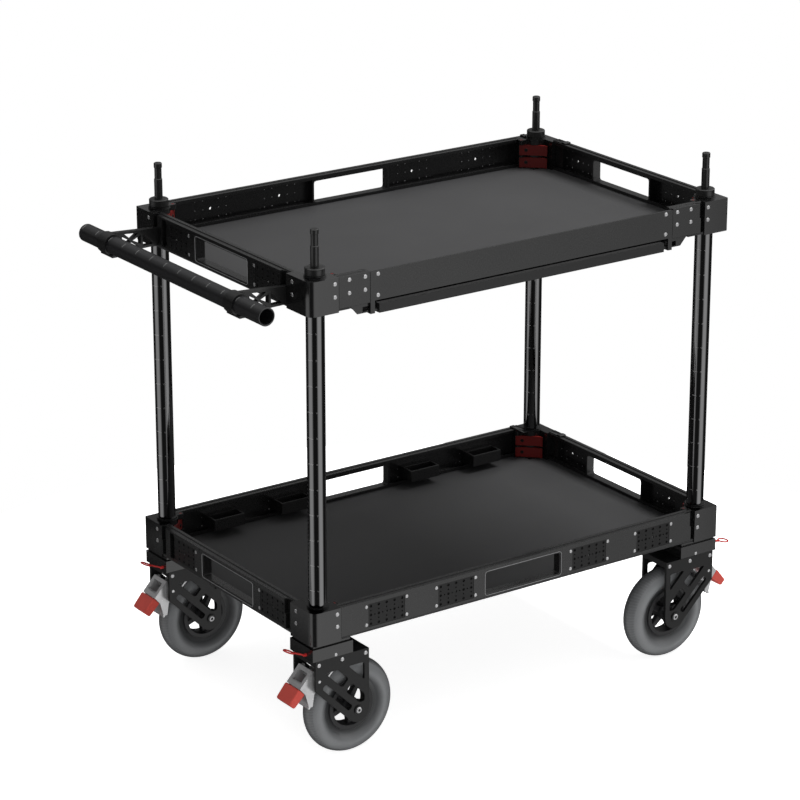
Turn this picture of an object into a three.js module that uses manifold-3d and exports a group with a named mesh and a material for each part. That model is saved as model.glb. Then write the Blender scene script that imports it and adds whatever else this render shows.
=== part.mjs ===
// Two-shelf camera cart on four round posts, with swivel casters, a push handle and a sliding tray.
// Millimetres, +Z up. X runs along the long side, the handle is at the -X end and the tray opens to -Y.

import * as THREE from 'three';
import { mergeVertices } from 'three/addons/utils/BufferGeometryUtils.js';
import Module from 'manifold-3d';

const wasm = await Module();
wasm.setup();

// Driving dimensions of the whole cart
const postSpacingX = 915;
const postSpacingY = 547;
const postDiameter = 35;
const wheelRadius = 96;
const shelfPitch = 645.7;

// Shared fits
const seatGap = 0.3;
const runningGap = 0.4;
const overrun = 2;
const weldDepth = 1;

// Posts, with a plug and a stud for accessories on top
const postWall = 3;
const postBottomRise = 1.5;
const collarRise = 17.7;
const capOverhang = 3.3;
const plugDepth = 30;
const studDiameter = 16;
const studBodyLength = 40;
const studNeckDiameter = 14;
const studNeckLength = 21.5;
const studHeadLength = 10;
const studChamfer = 1.2;
const rackWidth = 8.4;
const rackDepth = 2.4;
const rackTurnDegrees = 20;
const rackEndMargin = 14;

// Corner blocks that clamp round the posts
const blockHalf = 32.5;
const blockReachX = 30.5;
const blockReachY = 45;
const shortReachX = 26;
const shortReachY = 31;
const blockLeg = 24.5;
const longBlockRadius = 18;
const shortBlockRadius = 3;
const collarRingRadius = 20.8;
const collarRingHeight = 4;
const upperBlockSkirt = 6.5;
const lowerBlockSkirt = 7.5;
const sleeveWall = 4.4;

// Red clamp levers inside each corner
const leverStandoff = 20.4;
const leverLength = 55.4;
const leverThickness = 5;
const leverFloorGap = 1.5;
const leverBladeSpace = 4.7;
const leverTopDrop = 10.6;
const leverHub = 3.5;
const leverTip = 7;
const leverTipTurn = 4;
const spindleRadius = 3;
const earRadius = 6.5;
const earRoot = 18;

// Rails round each shelf: one profile, with windows and perforated plates
const railHeight = 60;
const railDepth = 20;
const railWall = 4;
const railFlange = 3.6;
const railLipHeight = 7;
const railLipThickness = 3;
const railGrooveInset = 7.5;
const railGrooveWidth = 5;
const railGrooveDepth = 1.5;
const windowWidth = 179;
const windowTopMargin = 10;
const windowRise = 6;
const windowRadius = 5;
const sideWindowShift = 4.7;
const windowFrame = 4;
const bezelWidth = 3;
const bezelHeight = 3;
const bezelDepth = 1.4;
const platePitch = 161.6;
const plateRise = 28.65;
const plateBoreRadius = 3;

// Receiver slots for the handle and for accessories
const receiverWidth = 12.4;
const wideReceiverWidth = 20;
const receiverDepth = 10;
const receiverStep = 3;
const farReceiverInset = 4;
const secondSlotInset = 33;
const secondSlotWidth = 15;

// Shelf plates
const deckThickness = 4.5;
const deckEdgeInset = 3;
const trayBayInset = 20;

// Holders on the inner face of the lower back rail
const holderLength = 72;
const holderReach = 34;
const holderHeight = 24;
const holderRise = 14;
const holderWall = 4;

// Push handle
const handleTubeDiameter = 35;
const handleTubeWall = 3;
const handleOverhang = 48;
const handleReach = 101.8;
const handleDrop = 40;
const clampRingWall = 3.4;
const clampRingWidth = 30;
const clampEarHeight = 1.6;
const clampEarWidth = 16;
const clampEarLength = 44;
const trussThickness = 11.6;
const trussFootTop = 25.5;
const trussFootLow = 0.5;
const trussFootDepth = 8;
const trussRib = 5;
const trussWaistShare = 0.4;

// Sliding tray and its drop front below the upper shelf
const endPieceLength = 68.4;
const panelGap = 0.5;
const panelThickness = 5;
const panelTopDrop = 1.9;
const panelBottomRise = 2.1;
const tabWidth = 9.7;
const tabDrop = 22;
const trayLipHeight = 18;
const trayLipInset = 20;
const trayLipDepth = 12;
const trayLipDrop = 5.2;
const hingePinRadius = 3;
const hingePinLength = 8;
const hingeInset = 6.5;
const hingeDrop = 17.6;
const trayFloor = 2.5;
const trayDepth = 290;
const trayWall = 2.5;
const trayRunnerSetback = 15;
const runnerHeight = 8.4;
const runnerWidth = 13;
const channelFlange = 2.5;
const channelWeb = 2.5;
const channelWidth = 16;
const bracketDepth = 2.7;
const bracketSetback = 5;
const bracketFoot = 42;
const bracketToe = 17;

// Caster: mount, fork, wheel
const casterOffset = 8.1;
const swivelInset = 13;
const axleInset = 69.5;
const mountTopDrop = 5;
const mountHeight = 24.7;
const mountReachX = 58;
const mountNeckInset = 4;
const forkHalfWidth = 39.1;
const forkPlate = 6;
const forkRise = 122.4;
const forkArm = 95.3;
const forkBoss = 25;
const forkTopPlate = 12;
const forkCornerRadius = 3;
const kingpinRadius = 12;
const kingpinHeight = 19;
const axleRadius = 6;
const axleHeadRadius = 9.5;
const axleHeadHeight = 2.5;
const tyreRadius = 23.6;
const tyreSeat = 46;
const tyreArcDegrees = 125;
const tyreBeadHalf = 14;
const rimHalfWidth = 21;
const rimFlangeRise = 3;
const rimFlangeWidth = 3;
const rimWall = 5;
const spokeRoot = 2.4;
const hubRadius = 17;
const hubHalfLength = 31;
const webHalfThickness = 6;
const spokeCount = 5;
const spokeWidth = 12;
const leftSpokeTurnShare = 0.18;
const rightSpokeTurnShare = 0.78;

// Foot brake
const brakeHalfWidth = 23;
const brakeCheek = 4;
const brakePlate = 4;
const brakeStrap = 3;
const brakeStrapHalfWidth = 30;
const brakeBar = 4;
const brakePinRadius = 3;
const shoeStandoff = 5.4;
const shoeThickness = 4;
const padHalfWidth = 23.5;
const padEdgeRadius = 3;

// Swivel lock: a pin in the mount with a pull loop
const lockPinRadius = 3;
const lockPinDepth = 34;
const frontLockOffset = -8;
const backLockOffset = 34;
const lockPinRise = 9;
const strapWidth = 6;
const strapThickness = 2.6;
const strapLength = 26;
const leftStrapRise = 11.5;
const rightStrapRise = -3.5;
const loopRadius = 10.5;
const loopThickness = 1.7;

// Fineness of round shapes
const postSides = 20;
const boreSides = 20;
const wheelSides = 28;
const pinSides = 10;
const cornerSteps = 2;
const blockSteps = 6;
const holeSteps = 1;
const tyreSteps = 8;
const loopSides = 12;
const wireSides = 5;
const hubSides = 14;

// Outlines written as shares of the sizes they follow: outward / forkArm, upward / forkRise
const forkSlotShares = [[0.131, 0.094], [0.223, 0.0225], [0.858, 0.517], [0.766, 0.588]];
const forkWindowShares = [[0.787, 0.772], [0.378, 0.453], [0.223, 0.574], [0.477, 0.772]];
const forkTopCornerShares = [[-0.152, 0.784], [0.231, 0.784], [-0.152, 0.486]];
const forkHubShares = [[0.147, 0.482], [0.294, 0.368], [-0.021, 0.123], [-0.152, 0.123], [-0.152, 0.249]];
const brakePivotShares = [0.913, 0.654];
const cheekShares = [[0.87, 0.785], [0.99, 0.79], [1.26, 0.545], [1.14, 0.43], [1.06, 0.2], [0.975, 0.2],
  [0.93, 0.42], [0.83, 0.47], [0.82, 0.64]];
const brakeTopShares = [[0.975, 0.8], [1.27, 0.55]];
const brakeStrapShares = [[0.493, 0.793], [0.88, 0.5]];
const strapRootShares = [[0.86, 0.49], [0.9, 0.455]];
const brakeWindowShares = [0.2, 0.78];
const padShares = [[1.296, 0.556], [1.527, 0.335], [1.406, 0.245], [1.149, 0.441]];
const shoeAngles = [12, 20, 28, 36];

// Axes of the whole cart, measured from the middle between the posts
const halfX = postSpacingX / 2;
const halfY = postSpacingY / 2;
const postRadius = postDiameter / 2;
const outerX = halfX + blockHalf;
const outerY = halfY + blockHalf;
const boreRadius = postRadius + seatGap;
const sleeveRadius = boreRadius + sleeveWall;
const forkTop = wheelRadius + forkRise;
const mountBottom = forkTop + seatGap;
const mountTop = mountBottom + mountHeight;
const lowerBlockBottom = mountTop + mountTopDrop;
const lowerShelfTop = lowerBlockBottom + lowerBlockSkirt + railHeight;
const upperShelfTop = lowerShelfTop + shelfPitch;
const upperBlockBottom = upperShelfTop - railHeight - upperBlockSkirt;
const windowTop = railHeight - windowTopMargin;
const leverBladeHeight = (railHeight - leverTopDrop - leverBladeSpace - leverFloorGap) / 2;
const unitX = new THREE.Vector3(1, 0, 0);
const unitY = new THREE.Vector3(0, 1, 0);
const unitZ = new THREE.Vector3(0, 0, 1);
const standY = new THREE.Matrix4().makeBasis(unitX, unitZ, unitY.clone().negate());
const layX = new THREE.Matrix4().makeBasis(unitY, unitZ, unitX);

// Closed outline through a list of points
function outline(points) {
  return new THREE.Shape(points.map(([a, b]) => new THREE.Vector2(a, b)));
}

// The same with every corner rounded
function softOutline(points, radius, target = new THREE.Shape()) {
  const corners = points.map(([a, b]) => new THREE.Vector2(a, b));
  corners.forEach((corner, i) => {
    const before = corners[(i + corners.length - 1) % corners.length];
    const after = corners[(i + 1) % corners.length];
    const start = before.clone().sub(corner).setLength(radius).add(corner);
    const end = after.clone().sub(corner).setLength(radius).add(corner);
    if (i === 0) target.moveTo(start.x, start.y);
    else target.lineTo(start.x, start.y);
    target.quadraticCurveTo(corner.x, corner.y, end.x, end.y);
  });
  target.closePath();
  return target;
}

function rectangle(x0, x1, y0, y1) {
  return [[x0, y0], [x1, y0], [x1, y1], [x0, y1]];
}

// Extrusions along the three axes; the outline of extrudeY is in X and Z, that of extrudeX in Y and Z
function extrudeZ(shape, z0, z1, steps = cornerSteps) {
  const options = { depth: z1 - z0, bevelEnabled: false, curveSegments: steps };
  return new THREE.ExtrudeGeometry(shape, options).translate(0, 0, z0);
}

function extrudeY(shape, y0, y1, steps = cornerSteps) {
  return extrudeZ(shape, 0, y1 - y0, steps).applyMatrix4(standY).translate(0, y1, 0);
}

function extrudeX(shape, x0, x1) {
  return extrudeZ(shape, 0, x1 - x0).applyMatrix4(layX).translate(x0, 0, 0);
}

function box(x0, x1, y0, y1, z0, z1) {
  const shape = new THREE.BoxGeometry(x1 - x0, y1 - y0, z1 - z0);
  return shape.translate((x0 + x1) / 2, (y0 + y1) / 2, (z0 + z1) / 2);
}

// Round bars along the three axes
function barZ(radius, x, y, z0, z1, sides = boreSides) {
  const bar = new THREE.CylinderGeometry(radius, radius, z1 - z0, sides).rotateX(Math.PI / 2);
  return bar.translate(x, y, (z0 + z1) / 2);
}

function barY(radius, x, z, y0, y1, sides = boreSides) {
  const bar = new THREE.CylinderGeometry(radius, radius, y1 - y0, sides);
  return bar.translate(x, (y0 + y1) / 2, z);
}

function barX(radius, y, z, x0, x1, sides = boreSides) {
  const bar = new THREE.CylinderGeometry(radius, radius, x1 - x0, sides).rotateZ(Math.PI / 2);
  return bar.translate((x0 + x1) / 2, y, z);
}

// Revolved solid about the Z axis from a closed profile of radius and height
function revolve(profile, sides) {
  const closed = [...profile, profile[0]].map(([r, z]) => new THREE.Vector2(r, z));
  return new THREE.LatheGeometry(closed, sides).rotateX(Math.PI / 2);
}

// A geometry as a solid for joining and cutting, without the triangles that close up on an axis
function solid(shape) {
  if (shape instanceof wasm.Manifold) return shape;
  const bare = shape.clone();
  bare.deleteAttribute('normal');
  bare.deleteAttribute('uv');
  const merged = mergeVertices(bare);
  const corners = merged.index.array;
  const kept = [];
  for (let i = 0; i < corners.length; i += 3) {
    const [a, b, c] = [corners[i], corners[i + 1], corners[i + 2]];
    if (a !== b && b !== c && c !== a) kept.push(a, b, c);
  }
  const points = new Float32Array(merged.attributes.position.array);
  const mesh = new wasm.Mesh({ numProp: 3, vertProperties: points, triVerts: new Uint32Array(kept) });
  return new wasm.Manifold(mesh);
}

function join(...shapes) {
  return shapes.map(solid).reduce((whole, part) => whole.add(part));
}

function cut(base, ...tools) {
  return tools.map(solid).reduce((whole, tool) => whole.subtract(tool), solid(base));
}

function geometryOf(shape) {
  const mesh = solid(shape).getMesh();
  const geometry = new THREE.BufferGeometry();
  geometry.setAttribute('position', new THREE.BufferAttribute(new Float32Array(mesh.vertProperties), 3));
  geometry.setIndex(new THREE.BufferAttribute(new Uint32Array(mesh.triVerts), 1));
  geometry.computeVertexNormals();
  return geometry;
}

// Finishes
const blackAluminium = { color: 0x3a3b3c, roughness: 0.5, metalness: 0.6 };
const deckCoat = { color: 0x505152, roughness: 0.75, metalness: 0.1 };
const glossBlack = { color: 0x1c1c1d, roughness: 0.25, metalness: 0.8 };
const redAnodised = { color: 0x8c1a1e, roughness: 0.4, metalness: 0.5 };
const redRubber = { color: 0xc0443f, roughness: 0.7, metalness: 0 };
const zincSteel = { color: 0xd5d6d8, roughness: 0.25, metalness: 1 };
const greyTyre = { color: 0x6d7073, roughness: 0.85, metalness: 0 };
const blackPlastic = { color: 0x202122, roughness: 0.6, metalness: 0 };

function piece(name, geometry, finish) {
  const mesh = new THREE.Mesh(geometry, new THREE.MeshStandardMaterial(finish));
  mesh.name = name;
  return mesh;
}

// The four corners, each with the signs that turn its own frame, in which inward is +X and +Y
const corners = [
  { tag: 'fl', flipX: 1, flipY: 1, long: true },
  { tag: 'fr', flipX: -1, flipY: 1, long: false },
  { tag: 'bl', flipX: 1, flipY: -1, long: false },
  { tag: 'br', flipX: -1, flipY: -1, long: true },
];

function lockOffset(corner) {
  return corner.flipY > 0 ? frontLockOffset : backLockOffset;
}

function cornerGroup(corner) {
  const group = new THREE.Group();
  group.position.set(-corner.flipX * halfX, -corner.flipY * halfY, 0);
  group.scale.set(corner.flipX, corner.flipY, 1);
  return group;
}

// Post: a tube with a cap and stud on top, and a long groove for its rack, a little back from its -X side
function postProfile() {
  const inner = postRadius - postWall;
  const bottom = lowerBlockBottom + postBottomRise;
  const collar = upperShelfTop + collarRise;
  const cap = postRadius + capOverhang;
  const capBottom = upperShelfTop + collarRingHeight + seatGap;
  const neck = collar + studBodyLength;
  const head = neck + studNeckLength;
  const top = head + studHeadLength;
  const stud = studDiameter / 2;
  const waist = studNeckDiameter / 2;
  return [
    [inner, bottom], [postRadius, bottom], [postRadius, capBottom], [cap, capBottom],
    [cap, collar - studChamfer], [cap - studChamfer, collar], [stud, collar], [stud, neck],
    [waist, neck], [waist, head], [stud, head + studChamfer],
    [stud, top - studChamfer], [stud - studChamfer, top], [0, top],
    [0, collar - plugDepth], [inner, collar - plugDepth],
  ];
}

function postSolid(corner) {
  const low = lowerShelfTop + rackEndMargin;
  const high = upperBlockBottom - rackEndMargin;
  const turn = THREE.MathUtils.degToRad(rackTurnDegrees);
  const rack = box(postRadius - rackDepth, postRadius + rackDepth, -rackWidth / 2, rackWidth / 2, low, high);
  rack.rotateZ(Math.atan2(corner.flipY * Math.sin(turn), -corner.flipX * Math.cos(turn)));
  return cut(revolve(postProfile(), postSides), rack);
}

// Corner block: two legs along the rails, a sleeve round the post and ears for the clamp levers
const diagonalShare = Math.SQRT1_2;
const leverPivotX = (leverStandoff + leverLength / 2) * diagonalShare;
const leverPivotY = (leverStandoff - leverLength / 2) * diagonalShare;

function legOutline(reachX, reachY, radius) {
  const legEdge = blockLeg - blockHalf;
  const shape = new THREE.Shape();
  shape.moveTo(radius - blockHalf, -blockHalf);
  shape.lineTo(reachX, -blockHalf);
  shape.lineTo(reachX, legEdge);
  shape.lineTo(legEdge, legEdge);
  shape.lineTo(legEdge, reachY);
  shape.lineTo(-blockHalf, reachY);
  shape.lineTo(-blockHalf, radius - blockHalf);
  shape.quadraticCurveTo(-blockHalf, -blockHalf, radius - blockHalf, -blockHalf);
  return shape;
}

function earOutline() {
  const shape = new THREE.Shape();
  shape.moveTo(earRoot, leverPivotY - earRadius);
  shape.lineTo(leverPivotX, leverPivotY - earRadius);
  shape.absarc(leverPivotX, leverPivotY, earRadius, -Math.PI / 2, Math.PI / 2, false);
  shape.lineTo(earRoot, leverPivotY + earRadius);
  return shape;
}

// Heights of the two blades below the top of a shelf, as [bottom, top]
function bladeSpans(top) {
  const upper = top - leverTopDrop;
  const lower = upper - leverBladeHeight - leverBladeSpace;
  return [[upper - leverBladeHeight, upper], [lower - leverBladeHeight, lower]];
}

// Room for one blade: everything beyond its inner face, and the sweep of its end round the spindle
function bladeRoom([z0, z1]) {
  const half = leverThickness / 2;
  const near = leverStandoff - half - runningGap;
  const far = leverStandoff + leverLength;
  const reach = outline(rectangle(near, far, -leverLength, leverLength));
  const beyond = extrudeZ(reach, z0 - runningGap, z1 + runningGap);
  const sweep = Math.hypot(leverHub, half) + runningGap;
  const round = barZ(sweep, leverPivotX, leverPivotY, z0 - runningGap, z1 + runningGap, pinSides);
  return join(beyond.rotateZ(Math.PI / 4), round);
}

function blockSolid(corner, top, bottom) {
  const reachX = corner.long ? blockReachX : shortReachX;
  const reachY = corner.long ? blockReachY : shortReachY;
  const radius = corner.long ? longBlockRadius : shortBlockRadius;
  const steps = corner.long ? blockSteps : cornerSteps;
  const deckTop = top - railHeight;
  const ringTop = top + collarRingHeight;
  const legs = extrudeZ(legOutline(reachX, reachY, radius), bottom, top, steps);
  const sleeve = barZ(sleeveRadius, 0, 0, bottom, top);
  const ring = barZ(collarRingRadius, 0, 0, top - weldDepth, ringTop);
  const ear = extrudeZ(earOutline(), deckTop + seatGap, top);
  const spindleBore = barZ(spindleRadius + seatGap, leverPivotX, leverPivotY, deckTop, top + overrun, pinSides);
  const guide = cut(join(sleeve, ear), ...bladeSpans(top).map(bladeRoom), spindleBore);
  const eye = barZ(boreRadius, 0, 0, bottom - overrun, ringTop + overrun);
  return { body: join(legs, guide, ring), eye };
}

function upperBlock(corner) {
  const { body, eye } = blockSolid(corner, upperShelfTop, upperBlockBottom);
  return cut(body, eye);
}

// The lower block carries the caster's mount, with the swivel bore and the lock-pin bore
function lowerBlock(corner) {
  const { body } = blockSolid(corner, lowerShelfTop, lowerBlockBottom);
  const low = casterOffset - forkHalfWidth;
  const high = casterOffset + forkHalfWidth;
  const inset = mountNeckInset;
  const mount = box(-blockHalf, mountReachX, low, high, mountBottom, mountTop);
  const neck = box(inset - blockHalf, mountReachX - inset, low + inset, high - inset,
    mountTop - weldDepth, lowerBlockBottom + weldDepth);
  const floor = barZ(sleeveRadius, 0, 0, lowerBlockBottom - weldDepth, lowerBlockBottom + weldDepth);
  const eye = barZ(boreRadius, 0, 0, lowerBlockBottom + weldDepth, lowerShelfTop + collarRingHeight + overrun);
  const swivelTop = forkTop + kingpinHeight + runningGap;
  const swivel = barZ(kingpinRadius + seatGap, swivelInset, casterOffset, mountBottom - overrun, swivelTop);
  const pinHeight = mountBottom + lockPinRise;
  const pinBore = barX(lockPinRadius + seatGap, lockOffset(corner), pinHeight,
    -blockHalf - overrun, lockPinDepth - blockHalf + runningGap, pinSides);
  return cut(join(body, floor, neck, mount), eye, swivel, pinBore);
}

// Clamp lever: two blades on one spindle, closed across the inner side of the post
function leverSolid(top) {
  const deckTop = top - railHeight;
  const half = leverThickness / 2;
  const blades = bladeSpans(top).map(([z0, z1]) => {
    const blade = outline([[-leverHub, -half], [leverLength - leverTip, -half],
      [leverLength, -half - leverTipTurn], [leverLength, -leverTipTurn],
      [leverLength - leverTip, half], [-leverHub, half]]);
    return extrudeZ(blade, z0, z1, holeSteps);
  });
  const spindle = barZ(spindleRadius, 0, 0, deckTop + seatGap, top, pinSides);
  return join(...blades, spindle);
}

function leverMesh(name, geometry) {
  const mesh = piece(name, geometry, redAnodised);
  mesh.position.set(leverPivotX, leverPivotY, 0);
  mesh.rotation.z = 3 * Math.PI / 4;
  return mesh;
}

// Rail profile from the outer face inward: a channel with lips and a groove along its top
function railProfile() {
  const grooveEnd = railGrooveInset + railGrooveWidth;
  const lip = railDepth - railLipThickness;
  const upperLip = railHeight - railLipHeight;
  const underTop = railHeight - railFlange;
  const grooveFloor = railHeight - railGrooveDepth;
  return outline([
    [0, 0], [railDepth, 0], [railDepth, railLipHeight], [lip, railLipHeight], [lip, railFlange],
    [railWall, railFlange], [railWall, underTop], [lip, underTop], [lip, upperLip], [railDepth, upperLip],
    [railDepth, railHeight], [grooveEnd, railHeight], [grooveEnd, grooveFloor],
    [railGrooveInset, grooveFloor], [railGrooveInset, railHeight], [0, railHeight],
  ]);
}

// Window: a framed opening through the rail with a shallow bezel on the outer face
function windowFrameSolid() {
  const halfFrame = windowWidth / 2 + windowFrame;
  return box(-halfFrame, halfFrame, 0, railDepth, railFlange - weldDepth, railHeight - railFlange + weldDepth);
}

function windowOpening() {
  const halfOpen = windowWidth / 2;
  const corners = rectangle(-halfOpen, halfOpen, windowRise, windowTop);
  return extrudeY(softOutline(corners, windowRadius), -overrun, railDepth + overrun);
}

function windowBezel() {
  const halfBezel = windowWidth / 2 + bezelWidth;
  const corners = rectangle(-halfBezel, halfBezel, windowRise - bezelHeight, windowTop + bezelHeight);
  return extrudeY(softOutline(corners, windowRadius), -overrun, bezelDepth);
}

// Closed pocket behind a slot in the outer wall, and the receiver slot, narrower in its lower half
function pocket(from, to) {
  const top = railHeight - railFlange;
  return box(from, to, 0, receiverDepth + railWall, railFlange - weldDepth, top + weldDepth);
}

function receiverSlot(from, to) {
  const middle = railHeight / 2;
  const upper = box(from, to, -overrun, receiverDepth, middle, railHeight + overrun);
  const lower = box(from + receiverStep, to, -overrun, receiverDepth, -overrun, middle + weldDepth);
  return join(upper, lower);
}

function plateBores(places) {
  return places.map((x) => barY(plateBoreRadius, x, plateRise, -overrun, railWall + overrun, pinSides));
}

function railBlank(from, to, middle, places) {
  const bar = extrudeX(railProfile(), from, to);
  const [ring, opening, bezel] = [windowFrameSolid(), windowOpening(), windowBezel()];
  const [shiftedRing, ...cuts] = [ring, opening, bezel].map((shape) => shape.translate(middle, 0, 0));
  return cut(join(bar, shiftedRing), ...cuts, ...plateBores(places));
}

// Long rail, seen from its outer face: one receiver slot at its right end
const longRailStart = blockReachX + seatGap - halfX;
const longRailEnd = halfX - shortReachX - seatGap;

function longRail() {
  const places = [-2, -1, 1, 2].map((n) => n * platePitch);
  const slotStart = longRailEnd - receiverWidth;
  const slot = receiverSlot(slotStart, longRailEnd + overrun);
  const bar = railBlank(longRailStart, longRailEnd, 0, places);
  return cut(join(bar, pocket(slotStart - railWall, longRailEnd)), slot);
}

// Side rail, with the handle's two receiver slots and a second slot by the short block
const sideRailStart = shortReachY + seatGap - halfY;
const sideRailEnd = halfY - blockReachY - seatGap;
const farReceiver = sideRailStart + farReceiverInset;

function sideRail() {
  const slotStart = sideRailStart + secondSlotInset;
  const places = [-platePitch, platePitch].map((x) => x + sideWindowShift);
  const near = receiverSlot(sideRailEnd - wideReceiverWidth, sideRailEnd + overrun);
  const far = receiverSlot(farReceiver - receiverStep, farReceiver + receiverWidth);
  const second = box(slotStart, slotStart + secondSlotWidth, -overrun, receiverDepth,
    railFlange, railHeight - railFlange);
  const bar = railBlank(sideRailStart, sideRailEnd, sideWindowShift, places);
  const startPocket = pocket(sideRailStart, slotStart + secondSlotWidth + railWall);
  const endPocket = pocket(sideRailEnd - wideReceiverWidth - railWall, sideRailEnd);
  return cut(join(bar, startPocket, endPocket), near, far, second);
}

// Holders for small gear, open upwards, on the inner face of the lower back rail
function holder(x) {
  const half = holderLength / 2;
  const outside = box(x - half, x + half, railWall - weldDepth, railDepth + holderReach,
    holderRise, holderRise + holderHeight);
  const inside = box(x - half + holderWall, x + half - holderWall, railDepth + holderWall,
    railDepth + holderReach - holderWall, holderRise + holderWall, holderRise + holderHeight + overrun);
  return cut(outside, inside);
}

function holderRail(base) {
  return join(base, ...[-2, -1, 1, 2].map((n) => holder(n * platePitch)));
}

// Shelf plate under the rails, notched round the corner blocks
function deckNotch(corner) {
  const reachX = (corner.long ? blockReachX : shortReachX) + seatGap;
  const reachY = (corner.long ? blockReachY : shortReachY) + seatGap;
  const leg = blockLeg - blockHalf + seatGap;
  const far = blockHalf + overrun;
  const tall = deckThickness + overrun;
  const legX = box(-far, reachX, -far, leg, -tall, overrun);
  const legY = box(-far, leg, -far, reachY, -tall, overrun);
  const heart = box(-far, sleeveRadius + seatGap, -far, sleeveRadius + seatGap, -tall, overrun);
  const x = -corner.flipX * halfX;
  const y = -corner.flipY * halfY;
  const place = new THREE.Matrix4().makeScale(corner.flipX, corner.flipY, 1).setPosition(x, y, 0);
  return join(legX, legY, heart).transform(place.elements);
}

function deckSolid() {
  const x = outerX - deckEdgeInset;
  const y = outerY - deckEdgeInset;
  const plate = box(-x, x, -y, y, -deckThickness, 0);
  return cut(plate, ...corners.map(deckNotch));
}

// Short rail pieces beside the drop front, each with a bracket and a channel for the tray
const bayLeft = longRailStart + endPieceLength;
const bayRight = longRailEnd - receiverWidth - endPieceLength;
const railBottomUpper = upperShelfTop - railHeight;
const deckBottomUpper = railBottomUpper - seatGap - deckThickness;
const channelTop = deckBottomUpper - seatGap - railBottomUpper;
const channelHeight = runnerHeight + 2 * channelFlange + 2 * runningGap;

function channelSolids(edge, direction) {
  const outer = edge - direction * channelWidth;
  const inner = edge - direction * (channelWidth - channelWeb);
  const [lowX, highX] = [Math.min(outer, edge), Math.max(outer, edge)];
  const mouth = edge + direction * overrun;
  const [lowM, highM] = [Math.min(inner, mouth), Math.max(inner, mouth)];
  const channel = box(lowX, highX, bracketSetback, trayDepth, channelTop - channelHeight, channelTop);
  const groove = box(lowM, highM, -overrun, trayDepth + overrun,
    channelTop - channelHeight + channelFlange, channelTop - channelFlange);
  return { channel, groove };
}

function trayBracket(edge, direction) {
  const low = channelTop - channelHeight;
  const points = [[edge, weldDepth], [edge - direction * bracketFoot, weldDepth],
    [edge - direction * bracketFoot, 0], [edge - direction * (bracketFoot - bracketToe), low], [edge, low]];
  const face = outline(direction > 0 ? points.reverse() : points);
  return extrudeY(face, bracketSetback, bracketSetback + bracketDepth);
}

function endPiece(from, to, edge, direction) {
  const bar = extrudeX(railProfile(), from, to);
  const { channel, groove } = channelSolids(edge, direction);
  return cut(join(bar, trayBracket(edge, direction), channel), groove);
}

// Tray: floor, walls and runners behind a lip, with holes for the pins of the drop front
const trayLeft = bayLeft + trayLipInset;
const trayRight = bayRight - trayLipInset;
const lipTop = -trayLipDrop;
const lipBottom = lipTop - trayLipHeight;

function traySolid() {
  const runnerTop = channelTop - channelFlange - runningGap;
  const wallX = [bayLeft + seatGap + trayWall, bayRight - seatGap - trayWall];
  const lip = box(trayLeft, trayRight, 0, trayLipDepth, lipBottom, lipTop);
  const floor = box(wallX[0], wallX[1], trayRunnerSetback, trayDepth, lipBottom, lipBottom + trayFloor);
  const apron = box(trayLeft, trayRight, trayLipDepth - weldDepth, trayRunnerSetback + weldDepth,
    lipBottom, lipBottom + trayFloor);
  const back = box(wallX[0], wallX[1], trayDepth - trayWall, trayDepth, lipBottom, runnerTop);
  const sides = [0, 1].map((i) => {
    const inward = i === 0 ? 1 : -1;
    const near = wallX[i] - inward * runnerWidth;
    const far = wallX[i] + inward * trayWall;
    const runner = box(Math.min(near, far), Math.max(near, far), trayRunnerSetback, trayDepth,
      runnerTop - runnerHeight, runnerTop);
    const wall = box(Math.min(wallX[i], far), Math.max(wallX[i], far), trayRunnerSetback, trayDepth,
      lipBottom, runnerTop);
    return join(runner, wall);
  });
  const holes = [trayLeft, trayRight].map((x, i) => {
    const inward = i === 0 ? 1 : -1;
    const end = x + inward * (hingePinLength + seatGap);
    return barX(hingePinRadius + seatGap, hingeInset, -hingeDrop,
      Math.min(x - inward * overrun, end), Math.max(x - inward * overrun, end), pinSides);
  });
  return cut(join(lip, floor, apron, back, ...sides), ...holes);
}

// Drop front: a bare panel with a tab at each end that turns on a pin in the tray's lip
function dropFront() {
  const left = bayLeft + panelGap;
  const right = bayRight - panelGap;
  const panel = box(left, right, 0, panelThickness, panelBottomRise, railHeight - panelTopDrop);
  const tabs = [0, 1].map((i) => {
    const inward = i === 0 ? 1 : -1;
    const start = i === 0 ? left : right;
    const end = start + inward * tabWidth;
    const lipEnd = i === 0 ? trayLeft : trayRight;
    const tab = box(Math.min(start, end), Math.max(start, end), 0, panelThickness,
      -tabDrop, panelBottomRise + weldDepth);
    const cheek = box(Math.min(start, end), Math.max(start, end), 0, hingeInset + hingePinRadius + weldDepth,
      -tabDrop, -tabDrop + 2 * hingePinRadius + 2 * weldDepth);
    const pinStart = end - inward * weldDepth;
    const pinEnd = lipEnd + inward * hingePinLength;
    const pin = barX(hingePinRadius, hingeInset, -hingeDrop,
      Math.min(pinStart, pinEnd), Math.max(pinStart, pinEnd), pinSides);
    return join(tab, cheek, pin);
  });
  return join(panel, ...tabs);
}

// Push handle: an open tube in two clamp rings, each on a truss that plugs into a receiver slot
const tubeRadius = handleTubeDiameter / 2;
const handleX = -outerX - handleReach;
const handleZ = upperShelfTop - handleDrop;
const trussBack = -farReceiver - receiverWidth / 2;
const trussFront = receiverWidth / 2 - sideRailEnd;

function handleTube() {
  const end = halfY + handleOverhang;
  const tube = barY(tubeRadius, 0, 0, -end, end);
  return cut(tube, barY(tubeRadius - handleTubeWall, 0, 0, -end - overrun, end + overrun));
}

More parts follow.
